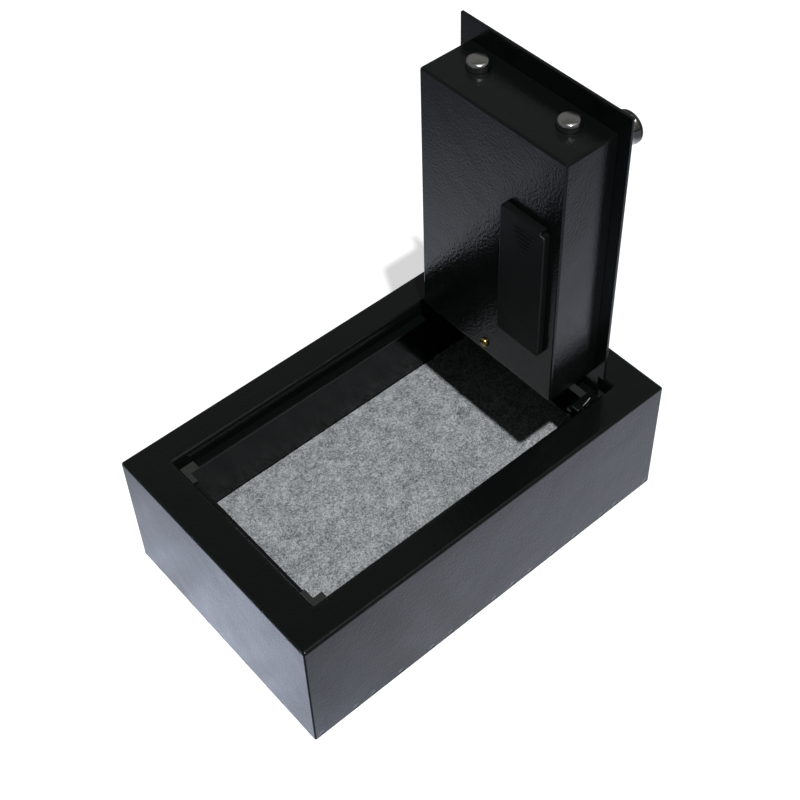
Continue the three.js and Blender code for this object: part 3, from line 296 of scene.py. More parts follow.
def make_piece(name, skin, material, body, slot, *nodes, marks=None):
    """Puts a skin in the scene as a smooth piece of a body, in place of the CAD nodes that it stands for.
    Marks are functions of a point, whose values the piece keeps for its material under their names."""
    data = bpy.data.meshes.new(name)
    skin.to_mesh(data)
    skin.free()
    data.materials.append(material)
    data.shade_smooth()
    data.set_sharp_from_angle(angle=math.radians(SHARP_FROM))
    for mark, level in (marks or {}).items():
        kept = data.attributes.new(mark, "FLOAT", "POINT")
        kept.data.foreach_set("value", [level(*(vertex.co / MM)) for vertex in data.vertices])
    piece = bpy.data.objects.new(name, data)
    scene.collection.objects.link(piece)
    even = piece.modifiers.new("even_normals", "WEIGHTED_NORMAL")
    even.keep_sharp = True
    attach(piece, body)
    if nodes:
        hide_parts(*nodes)
    return piece


SHELL_HALF = (150, 93.5)
SHELL_TOP = 100
OPENING_HALF = (125, 71)
FLANGE_FOOT = 88.2
STEEL = 1.5
FOLD = 2.4
FOLD_TURNS = [math.radians(turn) for turn in (0, 22.5, 45, 67.5, 90)]
WALL_CORNER = 1.2
OPENING_CORNER = 0.8
INNER_CORNER = 0.6
FOLD_RUB = 0.74


def frame_ring(half, radius):
    """A level outline of the shell, from its half sizes."""
    return rounded((-half[0], half[0]), (-half[1], half[1]), radius)


shell = [(frame_ring(SHELL_HALF, WALL_CORNER), 0)]
for turn in FOLD_TURNS:
    half = [size - FOLD * (1 - math.cos(turn)) for size in SHELL_HALF]
    shell.append((frame_ring(half, WALL_CORNER), SHELL_TOP - FOLD + FOLD * math.sin(turn)))
for turn in FOLD_TURNS:
    half = [size + FOLD * (1 - math.sin(turn)) for size in OPENING_HALF]
    shell.append((frame_ring(half, OPENING_CORNER), SHELL_TOP - FOLD + FOLD * math.cos(turn)))
behind = [size + STEEL for size in OPENING_HALF]
inside = [size - STEEL for size in SHELL_HALF]
shell += [(frame_ring(OPENING_HALF, OPENING_CORNER), FLANGE_FOOT),
          (frame_ring(behind, WALL_CORNER), FLANGE_FOOT),
          (frame_ring(behind, WALL_CORNER), SHELL_TOP - STEEL),
          (frame_ring(inside, INNER_CORNER), SHELL_TOP - STEEL), (frame_ring(inside, INNER_CORNER), 0)]


def shell_rub(x, y, z):
    """The top fold is where the shell rubs, and its corners most of all."""
    from_end, from_side = SHELL_HALF[0] - abs(x), SHELL_HALF[1] - abs(y)
    on_fold = 0.1 < SHELL_TOP - z < 1 and min(from_end, from_side) < 1
    at_corner = max(from_end, from_side) < 1.5
    return 1.0 if on_fold and at_corner else FOLD_RUB if on_fold else 0.0


def shell_dull(x, y, z):
    """The coat is thin and dull on the walls' inner faces, and duller where the corners were ground."""
    from_end, from_side = SHELL_HALF[0] - abs(x), SHELL_HALF[1] - abs(y)
    inner = z < SHELL_TOP - 1 and min(from_end, from_side) > 1
    ground = 0.05 < min(from_end, from_side) and max(from_end, from_side) < 0.9
    return 0.5 if inner else 1.0 if ground else 0.0


make_piece("shell_folded", loft(shell, ring=True), coat, "case", "black_paint", "body_shell",
           marks={"rub_and_highlight": shell_rub, "dull": shell_dull})


# Back panel and stop strips
# Flat sheet steel let in between the walls, and three angles spot welded behind the flanges, whose feet
# are the lip that the door closes on; cut edges are broken by the coat.
WELD_WITHIN = 0.002
FLAT_WITHIN = 1
BEVEL_FROM = 35


def dress(name, material, edge=0.0):
    """Gives a CAD node its material and, with an edge, cleans its faces and breaks its sharp edges."""
    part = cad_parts[name]
    if not part.data.materials:
        part.data.materials.append(material)
    for place in part.material_slots:
        place.link = "OBJECT"
        place.material = material
    if edge:
        weld = part.modifiers.new("weld", "WELD")
        weld.merge_threshold = WELD_WITHIN * MM
        flat = part.modifiers.new("flat", "DECIMATE")
        flat.decimate_type = "DISSOLVE"
        flat.angle_limit = math.radians(FLAT_WITHIN)
        broken = part.modifiers.new("broken_edge", "BEVEL")
        broken.width = edge * MM
        broken.segments = 2
        broken.limit_method = "ANGLE"
        broken.angle_limit = math.radians(BEVEL_FROM)


dress("back_panel", coat, edge=0.2)
for end in ("left", "right", "end"):
    dress("stop_strip_" + end, coat, edge=0.35)


# Felt liner
# Needle-punched polyester felt, 3 mm thick, cut to the floor and laid on the back panel. Grey and
# white fibres are blended before punching, so the sheet is mottled and has a soft, uneven face.

# Needled polyester: quite matt, with a pale bloom at a slant, and mottled at three sizes, from cloudy
# patches through tufts to fibres; the fibres are drawn coarser than they are, so that they show
CLOUD_SHARE, TUFT_SHARE, FIBRE_SHARE = 0.16, 0.42, 0.57
felt, tree, shader = start_material("needled_grey_felt", Roughness=1.0, IOR=1.46, Sheen_Weight=0.25,
                                    Sheen_Roughness=0.6)
spot = node(tree, "TexCoord").outputs["Object"]
cloud = node(tree, "TexNoise", {"Vector": spot, "Scale": per(9), "Detail": 3.0, "Roughness": 0.6})
tufts = node(tree, "TexNoise", {"Vector": spot, "Scale": per(2.8), "Detail": 4.0, "Roughness": 0.7,
                                "Distortion": 1.6})
fibres = node(tree, "TexNoise", {"Vector": spot, "Scale": per(1.2), "Detail": 3.0, "Roughness": 0.75,
                                 "Distortion": 1.2})
blend = node(tree, "Math", {0: cloud.outputs["Fac"], 1: CLOUD_SHARE}, operation="MULTIPLY")
blend = node(tree, "Math", {0: tufts.outputs["Fac"], 1: TUFT_SHARE, 2: blend.outputs[0]},
             operation="MULTIPLY_ADD")
blend = node(tree, "Math", {0: fibres.outputs["Fac"], 1: FIBRE_SHARE, 2: blend.outputs[0]},
             operation="MULTIPLY_ADD")
tone = node(tree, "ValToRGB", {0: blend.outputs[0]})
ramp = tone.color_ramp
ramp.elements[0].position = 0.45
ramp.elements[0].color = linear("#363B3F")
ramp.elements[1].position = 0.66
ramp.elements[1].color = linear("#BCC0C1")
middle = ramp.elements.new(0.55)
middle.color = linear("#7A7F82")
tree.links.new(tone.outputs["Color"], shader.inputs["Base Color"])
nap = node(tree, "Math", {0: fibres.outputs["Fac"], 1: tufts.outputs["Fac"]}, operation="ADD")
relief = node(tree, "Bump", {"Strength": 1.0, "Distance": 0.35 * MM, "Height": nap.outputs[0]})
tree.links.new(relief.outputs[0], shader.inputs["Normal"])

FELT_HALF = (148, 91.5)
FELT_UNDER = 1.8
FELT_TOP = 4.8
FELT_RIM_DROP = 0.5
FELT_CELLS = (74, 46)
FELT_SWELL = 0.22
FELT_RIPPLE = 0.12


def felt_lie(x, y):
    """How far the felt's face swells or sinks, in millimetres, as it lies."""
    swell = FELT_SWELL * math.sin(x / 21 + 0.6) * math.sin(y / 17 + 1.1)
    return swell + FELT_RIPPLE * math.sin(x / 7.3 + y / 9.1)


liner = bmesh.new()
faces = []
for under in (True, False):
    rows = []
    for down in range(FELT_CELLS[1] + 1):
        y = FELT_HALF[1] * (2 * down / FELT_CELLS[1] - 1)
        row = []
        for over in range(FELT_CELLS[0] + 1):
            x = FELT_HALF[0] * (2 * over / FELT_CELLS[0] - 1)
            rim = over in (0, FELT_CELLS[0]) or down in (0, FELT_CELLS[1])
            z = FELT_UNDER if under else FELT_TOP + felt_lie(x, y) - (FELT_RIM_DROP if rim else 0)
            row.append(liner.verts.new((x * MM, y * MM, z * MM)))
        rows.append(row)
    faces.append(rows)
for rows in faces:
    for low, high in zip(rows, rows[1:]):
        for at in range(FELT_CELLS[0]):
            liner.faces.new((low[at], low[at + 1], high[at + 1], high[at]))
rims = [rows[0] + [row[-1] for row in rows[1:]] + rows[-1][-2::-1] + [row[0] for row in rows[-2:0:-1]]
        for rows in faces]
for at in range(len(rims[0])):
    after = (at + 1) % len(rims[0])
    liner.faces.new((rims[0][at], rims[0][after], rims[1][after], rims[1][at]))
bmesh.ops.recalc_face_normals(liner, faces=liner.faces)
felt_piece = make_piece("felt_laid", liner, felt, "case", "felt", "felt_liner")


# Corner pads
# Two L-shaped pads of dark grey EVA foam, 1.5 mm thick, stuck on the lip at the free end so that the
# door closes without a clank.

# Closed-cell EVA: quite matt and dark grey, with its cut cells as a fine pitting
foam, tree, shader = start_material("grey_eva_foam", Roughness=0.95, IOR=1.45)
spot = node(tree, "TexCoord").outputs["Object"]
cells = node(tree, "TexVoronoi", {"Vector": spot, "Scale": per(0.8)})
tint = node(tree, "TexNoise", {"Vector": spot, "Scale": per(5), "Detail": 3.0})
shade = node(tree, "Mix", {0: tint.outputs["Fac"], 6: linear("#1C201C"), 7: linear("#2B302C")},
             data_type="RGBA")
tree.links.new(shade.outputs[2], shader.inputs["Base Color"])
relief = node(tree, "Bump", {"Strength": 0.7, "Distance": 0.2 * MM, "Height": cells.outputs["Distance"]})
tree.links.new(relief.outputs[0], shader.inputs["Normal"])


def inset(outline, depth):
    """An outline moved inwards by a depth, each corner along the middle of its two sides."""
    moved = []
    for at, (a, b) in enumerate(outline):
        before, after = outline[at - 1], outline[(at + 1) % len(outline)]
        normals = []
        for (a0, b0), (a1, b1) in ((before, (a, b)), ((a, b), after)):
            length = math.hypot(a1 - a0, b1 - b0)
            normals.append((-(b1 - b0) / length, (a1 - a0) / length))
        (na, nb), (ma, mb) = normals
        share = depth / (1 + na * ma + nb * mb)
        moved.append((a + share * (na + ma), b + share * (nb + mb)))
    return moved


def eased(outline, low, high, edge, steps=3):
    """Layers of a flat piece from low to high, whose outer edge is rounded."""
    up = 1 if high > low else -1
    curve = [(edge * (1 - math.cos(math.radians(90 * step / steps))),
              edge * (1 - math.sin(math.radians(90 * step / steps)))) for step in range(steps + 1)]
    top = [(inset(outline, depth), high - up * back) for depth, back in curve]
    return [(outline, low)] + top


PAD_CORNER = (-124.7, 70.7)
PAD_END = -111.7
PAD_INNER = -118.4
PAD_SIZES = {"left": (7.2, 14.5), "right": (9.5, 17.5)}
PAD_SPAN = (88.2, 89.7)
PAD_EDGE = 0.4
for side, sign in (("left", 1), ("right", -1)):
    x, y = PAD_CORNER
    width, reach = PAD_SIZES[side]
    outline = [(x, y), (x, y - reach), (PAD_INNER, y - reach), (PAD_INNER, y - width), (PAD_END, y - width),
               (PAD_END, y)]
    if sign < 0:
        outline = [(a, -b) for a, b in reversed(outline)]
    pad = make_piece("pad_foam_" + side, loft(eased(outline, *PAD_SPAN, PAD_EDGE)), foam, "case", "grey_foam",
                     "corner_pad_" + side)


# Hinge
# Bright zinc plated pins and washers run in steel lugs on the frame and ears on the door. A short flange
# joins the ears, and each lug is folded over the notch in the plate as a guard, which the door has scratched;
# the scratch is drawn near white, partly as a painted glint.

# Bright zinc: a plated metal, bluish white, a little dull from its passivation
zinc, tree, shader = start_material("bright_zinc_plate", Metallic=1.0)
spot = node(tree, "TexCoord").outputs["Object"]
bloom = node(tree, "TexNoise", {"Vector": spot, "Scale": per(6), "Detail": 4.0})
metal = node(tree, "Mix", {0: bloom.outputs["Fac"], 6: linear("#A9ADB1"), 7: linear("#C6C9CB")},
             data_type="RGBA")
tree.links.new(metal.outputs[2], shader.inputs["Base Color"])
polish = node(tree, "MapRange", {0: bloom.outputs["Fac"], 3: 0.24, 4: 0.42})
tree.links.new(polish.outputs[0], shader.inputs["Roughness"])
dress("hinge_flange", coat, edge=0.4)
for side in ("left", "right"):
    dress("hinge_lug_" + side, coat, edge=0.4)
    dress("door_ear_" + side, coat, edge=0.4)
    dress("hinge_pin_" + side, zinc, edge=0.3)
    dress("hinge_washer_" + side, zinc)

# Scraped steel: where the door's notch has rubbed the right guard, bare metal shows in a thin line, drawn
# near white so that it also stands as a painted glint
steel, tree, shader = start_material("scraped_steel_and_glint", Roughness=0.45, Specular_IOR_Level=0.8)
spot = node(tree, "TexCoord").outputs["Object"]
streak = node(tree, "TexNoise", {"Vector": spot, "Scale": per(1.2), "Detail": 3.0})
metal = node(tree, "Mix", {0: streak.outputs["Fac"], 6: linear("#9A9B98"), 7: linear("#EDEDEA")},
             data_type="RGBA")
tree.links.new(metal.outputs[2], shader.inputs["Base Color"])
SCRATCH = ((99.1, -69.9), (103.4, -69.2), (107.7, -68.1))
SCRATCH_HALVES = (0.05, 0.13, 0.17)
SCRATCH_SPAN = (99.5, 99.73)
line = [(a, b - half) for (a, b), half in zip(SCRATCH, SCRATCH_HALVES)]
line += [(a, b + half) for (a, b), half in zip(SCRATCH[::-1], SCRATCH_HALVES[::-1])]
make_piece("guard_scratch", loft([(line, place) for place in SCRATCH_SPAN]), steel, "case", "black_paint")


# Door plate
# A flat plate of 2 mm steel, laser cut with a notch at each ear and coated with the body. The lock housing
# covers its inner face, and the keypad and the knob sit on its outer one.
dress("door_plate", coat, edge=0.25)


# Lock housing
# A tray folded from 1.2 mm steel that covers the lock on the inner face of the door. Two punched
# holes let the bolts out of its end, and a slot in its front takes the batteries.
HOUSING_Y = (-60.5, 60.5)
HOUSING_Z = (112, 309)
HOUSING_FRONT = 77.4
HOUSING_RIM = 117.7
TRAY_STEEL = 1.2
TRAY_FOLD = 1.6
TRAY_CORNER = 1.8
TRAY_INNER_CORNER = 0.6
TRAY_INNER_EASE = 0.5
BOLT_Y = 37
BOLT_X = 102.8
BOLT_RADIUS = 7.5
BATTERY_SLOT_Y = (-50, -17)
BATTERY_SLOT_Z = (155.5, 251.5)
SLOT_CORNER = 1.0
SCREW_YZ = (0, 121)
SCREW_HOLE_RADIUS = 1.8
END_CUT = (304, 314)
FRONT_CUT = (74, 82)


def circle(a, b, radius, steps=48):
    """A circle round a point, as an outline of a number of steps."""
    return [(a + radius * math.cos(math.tau * step / steps), b + radius * math.sin(math.tau * step / steps))
            for step in range(steps)]


def tray_ring(depth, radius):
    """An outline of the tray, a depth inside its outer walls."""
    return rounded((HOUSING_Y[0] + depth, HOUSING_Y[1] - depth),
                   (HOUSING_Z[0] + depth, HOUSING_Z[1] - depth), radius)


tray = [(tray_ring(TRAY_STEEL + TRAY_INNER_EASE, TRAY_INNER_CORNER), HOUSING_FRONT + TRAY_STEEL),
        (tray_ring(TRAY_STEEL, TRAY_INNER_CORNER), HOUSING_FRONT + TRAY_STEEL + TRAY_INNER_EASE),
        (tray_ring(TRAY_STEEL, TRAY_INNER_CORNER), HOUSING_RIM), (tray_ring(0, TRAY_CORNER), HOUSING_RIM)]
for turn in FOLD_TURNS:
    tray.append((tray_ring(TRAY_FOLD * (1 - math.cos(turn)), TRAY_CORNER),
                 HOUSING_FRONT + TRAY_FOLD * (1 - math.sin(turn))))


def cut_through(piece, *skins):
    """Cuts the shapes of other skins out of a piece, and keeps the result as its mesh."""
    for skin in skins:
        data = bpy.data.meshes.new("cutter")
        skin.to_mesh(data)
        skin.free()
        tool = bpy.data.objects.new("cutter", data)
        scene.collection.objects.link(tool)
        cut = piece.modifiers.new("cut", "BOOLEAN")
        cut.operation = "DIFFERENCE"
        cut.solver = "EXACT"
        cut.object = tool
        piece.modifiers.move(len(piece.modifiers) - 1, 0)
        with bpy.context.temp_override(object=piece):
            bpy.ops.object.modifier_apply(modifier="cut")
        bpy.data.objects.remove(tool)
        bpy.data.meshes.remove(data)


def housing_rub(x, y, z):
    """The free end's front edge is what hands and the frame touch."""
    return FOLD_RUB if x < HOUSING_FRONT + 0.9 and z > HOUSING_Z[1] - 1 else 0.0


housing = make_piece("housing_folded", loft(tray, axis="x"), coat, "door", "black_paint", "lock_housing",
                     marks={"rub_and_highlight": housing_rub})
bolt_holes = [loft([(circle(BOLT_X, sign * BOLT_Y, BOLT_RADIUS + 0.3), place) for place in END_CUT])
              for sign in (1, -1)]
battery_slot = loft([(rounded(BATTERY_SLOT_Y, BATTERY_SLOT_Z, SLOT_CORNER), place) for place in FRONT_CUT],
                    axis="x")
screw_hole = loft([(circle(*SCREW_YZ, SCREW_HOLE_RADIUS, 24), place) for place in FRONT_CUT], axis="x")
cut_through(housing, *bolt_holes, battery_slot, screw_hole)


# Live bolts
# Two turned steel bolts, 15 mm thick with a rounded edge and a low crown, chrome plated and riveted to the
# carriage inside the housing.

# Chrome plate: a hard mirror of a metal over lathe marks, fogged by fingers, so that its flat ends show
# the dim ceiling and its rims the lamp
chrome, tree, shader = start_material("chrome_plate", Metallic=1.0)
spot = node(tree, "TexCoord").outputs["Object"]
film = node(tree, "TexNoise", {"Vector": spot, "Scale": per(4), "Detail": 5.0, "Roughness": 0.6})
metal = node(tree, "Mix", {0: film.outputs["Fac"], 6: linear("#B3B3AF"), 7: linear("#C9CAC8")},
             data_type="RGBA")
tree.links.new(metal.outputs[2], shader.inputs["Base Color"])
polish = node(tree, "MapRange", {0: film.outputs["Fac"], 1: 0.3, 2: 0.75, 3: 0.13, 4: 0.26})
tree.links.new(polish.outputs[0], shader.inputs["Roughness"])
marks = node(tree, "TexNoise", {"Vector": spot, "Scale": per(0.5), "Detail": 2.0})
relief = node(tree, "Bump", {"Strength": 0.5, "Distance": 0.02 * MM, "Height": marks.outputs["Fac"]})
tree.links.new(relief.outputs[0], shader.inputs["Normal"])

BOLT_FOOT = 276
BOLT_TIP = 315
BOLT_EDGE = 2.4
BOLT_TURNS = [math.radians(90 * step / 6) for step in range(1, 6)]
BOLT_CROWN = ((3.4, 0.24), (1.7, 0.38), (0.6, 0.41))
for side, sign in (("left", 1), ("right", -1)):
    rows = [(BOLT_RADIUS, BOLT_FOOT), (BOLT_RADIUS, BOLT_TIP - BOLT_EDGE)]
    rows += [(BOLT_RADIUS - BOLT_EDGE * (1 - math.cos(turn)), BOLT_TIP - BOLT_EDGE * (1 - math.sin(turn)))
             for turn in BOLT_TURNS]
    rows.append((BOLT_RADIUS - BOLT_EDGE, BOLT_TIP))
    rows += [(radius, BOLT_TIP + rise) for radius, rise in BOLT_CROWN]
    skin = loft([(circle(BOLT_X, sign * BOLT_Y, radius), place) for radius, place in rows])
    make_piece("bolt_turned_" + side, skin, chrome, "bolts", "chrome", "live_bolt_" + side)


# Battery cover
# A matt black ABS moulding that snaps over the battery slot and slides off towards the hinge. It has
# six raised thumb ribs, shorter downwards, and a notched corner at the top.

# ABS: a spark-eroded mould leaves it matt and finely pebbled, with a soft grey shine
abs_black, tree, shader = start_material("black_abs", IOR=1.53, Specular_IOR_Level=0.16)
spot = node(tree, "TexCoord").outputs["Object"]
pebble = node(tree, "TexNoise", {"Vector": spot, "Scale": per(0.6), "Detail": 2.0})
haze = node(tree, "TexNoise", {"Vector": spot, "Scale": per(24), "Detail": 4.0, "Distortion": 0.8})
black = node(tree, "Mix", {0: haze.outputs["Fac"], 6: linear("#060908"), 7: linear("#0D1110")},
             data_type="RGBA")
# Painted highlights: the cover's front edge and notch are mixed towards pale grey
painted_highlight = node(tree, "Attribute", attribute_name="rub_and_highlight")
black = node(tree, "Mix", {0: painted_highlight.outputs["Fac"], 6: black.outputs[2], 7: linear("#A3A5A4")},
             data_type="RGBA")
tree.links.new(black.outputs[2], shader.inputs["Base Color"])
dull = node(tree, "MapRange", {0: haze.outputs["Fac"], 1: 0.3, 2: 0.7, 3: 0.4, 4: 0.55})
tree.links.new(dull.outputs[0], shader.inputs["Roughness"])
relief = node(tree, "Bump", {"Strength": 0.5, "Distance": 0.06 * MM, "Height": pebble.outputs["Fac"]})
tree.links.new(relief.outputs[0], shader.inputs["Normal"])

COVER_Y = (-51.8, -15.2)
COVER_Z = (151.5, 255.5)
COVER_FRONT = 72.4
COVER_BACK = 77.1
COVER_CORNER = 2.0
COVER_EDGE = 0.8
NOTCH = 3
TONGUE_Y = (-49.7, -17.3)
TONGUE_Z = (163.8, 251.2)
TONGUE_X = (76.1, 78.4)
TONGUE_CORNER = 0.8
RIB_HALF = 0.65
RIB_CORNER = 0.6
RIB_EDGE = 0.4
RIB_HEIGHT = 0.55
RIB_SUNK = 0.2
RIB_TOP = 10.1
RIB_PITCH = 3.28
RIB_MIDDLE = -35
RIB_LENGTHS = (17.9, 15.4, 12.1, 9.4, 6.2, 3.0)
# How pale the notch and the front edge are painted, as highlights
NOTCH_HIGHLIGHT = 0.3
EDGE_HIGHLIGHT = 0.05


def add_skin(skin, other):
    """Joins another skin into a skin as a shell of its own."""
    data = bpy.data.meshes.new("joined")
    other.to_mesh(data)
    other.free()
    skin.from_mesh(data)
    bpy.data.meshes.remove(data)


corner = (COVER_Y[0], COVER_Z[1])
outline = [point for point in rounded(COVER_Y, COVER_Z, COVER_CORNER) if math.dist(point, corner) > NOTCH]
first_left = next(at for at, point in enumerate(outline) if abs(point[0] - COVER_Y[0]) < 1e-6)
outline[first_left:first_left] = [(corner[0] + NOTCH, corner[1]), (corner[0] + NOTCH, corner[1] - NOTCH),
                                  (corner[0], corner[1] - NOTCH), (corner[0], corner[1] - 2 * NOTCH)]
lid = loft(eased(outline, COVER_BACK, COVER_FRONT, COVER_EDGE), axis="x")
for row, length in enumerate(RIB_LENGTHS):
    z = COVER_Z[1] - RIB_TOP - RIB_PITCH * row
    rib = rounded((RIB_MIDDLE - length / 2, RIB_MIDDLE + length / 2), (z - RIB_HALF, z + RIB_HALF),
                  RIB_CORNER)
    add_skin(lid, loft(eased(rib, COVER_FRONT + RIB_SUNK, COVER_FRONT - RIB_HEIGHT, RIB_EDGE), axis="x"))
add_skin(lid, loft([(rounded(TONGUE_Y, TONGUE_Z, TONGUE_CORNER), place) for place in TONGUE_X], axis="x"))


def cover_highlight(x, y, z):
    """Pales the front edge a little and the bottom of the notch most: painted highlights where these catch
    the lamp, shown as wear.
    """
    on_front = COVER_FRONT + 0.05 < x < COVER_FRONT + 0.3
    at_notch = abs(z - COVER_Z[1] + NOTCH) < 0.9 and y < COVER_Y[0] + NOTCH + 0.9
    on_edge = y < COVER_Y[0] + 0.9 and z < COVER_Z[1] - NOTCH
    return (NOTCH_HIGHLIGHT if at_notch else EDGE_HIGHLIGHT if on_edge else 0.0) if on_front else 0.0


make_piece("cover_moulded", lid, abs_black, "cover", "black_plastic", "battery_cover",
           marks={"rub_and_highlight": cover_highlight})


# Housing screw
# An M3 pan head screw with a cross recess, yellow passivated. It goes through the front of the housing into
# a post on the plate.

# Yellow passivated zinc: brass in colour, warm and shiny, paler in patches
yellow, tree, shader = start_material("yellow_passivated_zinc", Metallic=1.0)
spot = node(tree, "TexCoord").outputs["Object"]
bloom = node(tree, "TexNoise", {"Vector": spot, "Scale": per(2.5), "Detail": 3.0})
metal = node(tree, "Mix", {0: bloom.outputs["Fac"], 6: linear("#B58F45"), 7: linear("#DCC98F")},
             data_type="RGBA")
tree.links.new(metal.outputs[2], shader.inputs["Base Color"])
polish = node(tree, "MapRange", {0: bloom.outputs["Fac"], 3: 0.16, 4: 0.36})
tree.links.new(polish.outputs[0], shader.inputs["Roughness"])

SCREW_PROFILE = ((1.5, 86.4), (1.5, 77.1), (3.3, 77.1), (3.3, 76.5), (3.05, 75.9), (2.5, 75.45), (1.6, 75.15),
                 (0.8, 75.08))
RECESS_ARMS = ((1.6, 0.42), (0.42, 1.6))
RECESS_CORNER = 0.3
RECESS_TAPER = 0.2
RECESS_FLOOR = 76.3
RECESS_MOUTH = 74.5
screw_skin = loft([(circle(*SCREW_YZ, radius), place) for radius, place in SCREW_PROFILE], axis="x")
screw = make_piece("screw_pan_head", screw_skin, yellow, "door", "yellow_zinc", "housing_screw")
for across, up in RECESS_ARMS:
    arm = rounded((SCREW_YZ[0] - across, SCREW_YZ[0] + across), (SCREW_YZ[1] - up, SCREW_YZ[1] + up),
                  RECESS_CORNER)
    cut_through(screw, loft([(inset(arm, RECESS_TAPER), RECESS_FLOOR), (arm, RECESS_MOUTH)], axis="x"))


# Knob
# A turned knob of chromed zinc alloy with a waist and a rounded crown; it draws the bolts back. A
# filed line on its crown shows which way it points.

# Dark chrome: greyer and darker than the bolts' chrome, over a lathe-turned face, a smoky mirror
dark_chrome, tree, shader = start_material("dark_chrome_plate", Metallic=1.0)
spot = node(tree, "TexCoord").outputs["Object"]
film = node(tree, "TexNoise", {"Vector": spot, "Scale": per(5), "Detail": 4.0, "Distortion": 1.0})
metal = node(tree, "Mix", {0: film.outputs["Fac"], 6: linear("#7C7B74"), 7: linear("#9C9B94")},
             data_type="RGBA")
tree.links.new(metal.outputs[2], shader.inputs["Base Color"])
polish = node(tree, "MapRange", {0: film.outputs["Fac"], 1: 0.3, 2: 0.7, 3: 0.1, 4: 0.24})
tree.links.new(polish.outputs[0], shader.inputs["Roughness"])

KNOB_YZ = (-47, 293)
KNOB_BASE = 120.3
KNOB_PROFILE = ((10.5, 0), (10.8, 0.3), (10.8, 2.7), (10.6, 3.2), (9.5, 5.6), (9.2, 6.6), (9.2, 16.6),
                (9.5, 17.6), (10.5, 19.7), (10.8, 20.1), (10.8, 20.6), (10.35, 20.85), (10.35, 21.1),
                (10.8, 21.35), (10.8, 21.8), (10.7, 22.3), (10.3, 22.8), (9.8, 23.1), (9.0, 23.2),
                (2.0, 23.2))
KNOB_STEPS = 64
POINTER_HALF = 0.5
POINTER_REACH = (2, 8.5)
POINTER_CORNER = 0.3
POINTER_CUT = (22.8, 25)
knob_skin = loft([(circle(*KNOB_YZ, radius, KNOB_STEPS), KNOB_BASE + place)
                  for radius, place in KNOB_PROFILE], axis="x")
knob = make_piece("knob_turned", knob_skin, dark_chrome, "knob_shaft", "chrome", "knob")
line = rounded((KNOB_YZ[0] - POINTER_HALF, KNOB_YZ[0] + POINTER_HALF),
               (KNOB_YZ[1] + POINTER_REACH[0], KNOB_YZ[1] + POINTER_REACH[1]), POINTER_CORNER)
cut_through(knob, loft([(line, KNOB_BASE + place) for place in POINTER_CUT], axis="x"))


# Keypad
# A black ABS panel on the outer face, with twelve dished keys moulded in grey ABS and a red-black
# acrylic window over the display. The figures are pad printed in white.
PANEL_Y = (-32, 32)
PANEL_Z = (169, 263)
PANEL_X = (120.3, 124.3)
PANEL_CORNER = 4.0
PANEL_EDGE = 1.2
PANEL_CUT = (119, 126)
WINDOW_Y = (-22, 22)
WINDOW_Z = (243, 256)
WINDOW_X = (120.3, 122.3)
WINDOW_CORNER = 1.7
WINDOW_EDGE = 0.3
KEY_SIZE = (14, 12)
KEY_COLUMNS = (-18, 0, 18)
KEY_ROWS = (230, 214, 198, 182)
KEY_X = (121.3, 125.5)
KEY_CORNER = 2.0
KEY_EDGE = 0.7
KEY_GAP = 0.3
KEYS = (("1", "2", "3"), ("4", "5", "6"), ("7", "8", "9"), ("clear", "0", "enter"))
PRINTS = {"clear": "*", "enter": "#"}
outline = rounded(PANEL_Y, PANEL_Z, PANEL_CORNER, 8)
panel = make_piece("panel_moulded", loft(eased(outline, *PANEL_X, PANEL_EDGE), axis="x"), abs_black, "door",
                   "black_plastic", "keypad_panel")
well = rounded((WINDOW_Y[0] - KEY_GAP, WINDOW_Y[1] + KEY_GAP), (WINDOW_Z[0] - KEY_GAP, WINDOW_Z[1] + KEY_GAP),
               WINDOW_CORNER + KEY_GAP)
wells = loft([(well, place) for place in PANEL_CUT], axis="x")
places = {}
for z, names in zip(KEY_ROWS, KEYS):
    for y, name in zip(KEY_COLUMNS, names):
        places[name] = (y, z)
        well = rounded((y - KEY_SIZE[0] / 2 - KEY_GAP, y + KEY_SIZE[0] / 2 + KEY_GAP),
                       (z - KEY_SIZE[1] / 2 - KEY_GAP, z + KEY_SIZE[1] / 2 + KEY_GAP), KEY_CORNER + KEY_GAP)
        add_skin(wells, loft([(well, place) for place in PANEL_CUT], axis="x"))
cut_through(panel, wells)

# Grey ABS: silkier than the panel, because keys are moulded smooth and polished by use
abs_grey, tree, shader = start_material("grey_abs", IOR=1.53)
spot = node(tree, "TexCoord").outputs["Object"]
haze = node(tree, "TexNoise", {"Vector": spot, "Scale": per(8), "Detail": 4.0})
grey = node(tree, "Mix", {0: haze.outputs["Fac"], 6: linear("#54575B"), 7: linear("#64686C")},
            data_type="RGBA")
tree.links.new(grey.outputs[2], shader.inputs["Base Color"])
dull = node(tree, "MapRange", {0: haze.outputs["Fac"], 1: 0.3, 2: 0.7, 3: 0.3, 4: 0.45})
tree.links.new(dull.outputs[0], shader.inputs["Roughness"])
pebble = node(tree, "TexNoise", {"Vector": spot, "Scale": per(0.5), "Detail": 1.0})
relief = node(tree, "Bump", {"Strength": 0.3, "Distance": 0.04 * MM, "Height": pebble.outputs["Fac"]})
tree.links.new(relief.outputs[0], shader.inputs["Normal"])

# Pad printing ink: a thin flat white film, slightly broken where the pad lifts
ink, tree, shader = start_material("white_pad_print", Roughness=0.55)
spot = node(tree, "TexCoord").outputs["Object"]
thin = node(tree, "TexNoise", {"Vector": spot, "Scale": per(0.9), "Detail": 3.0})
white = node(tree, "Mix", {0: thin.outputs["Fac"], 6: linear("#D5D6D6"), 7: linear("#F0F0EE")},
             data_type="RGBA")
tree.links.new(white.outputs[2], shader.inputs["Base Color"])

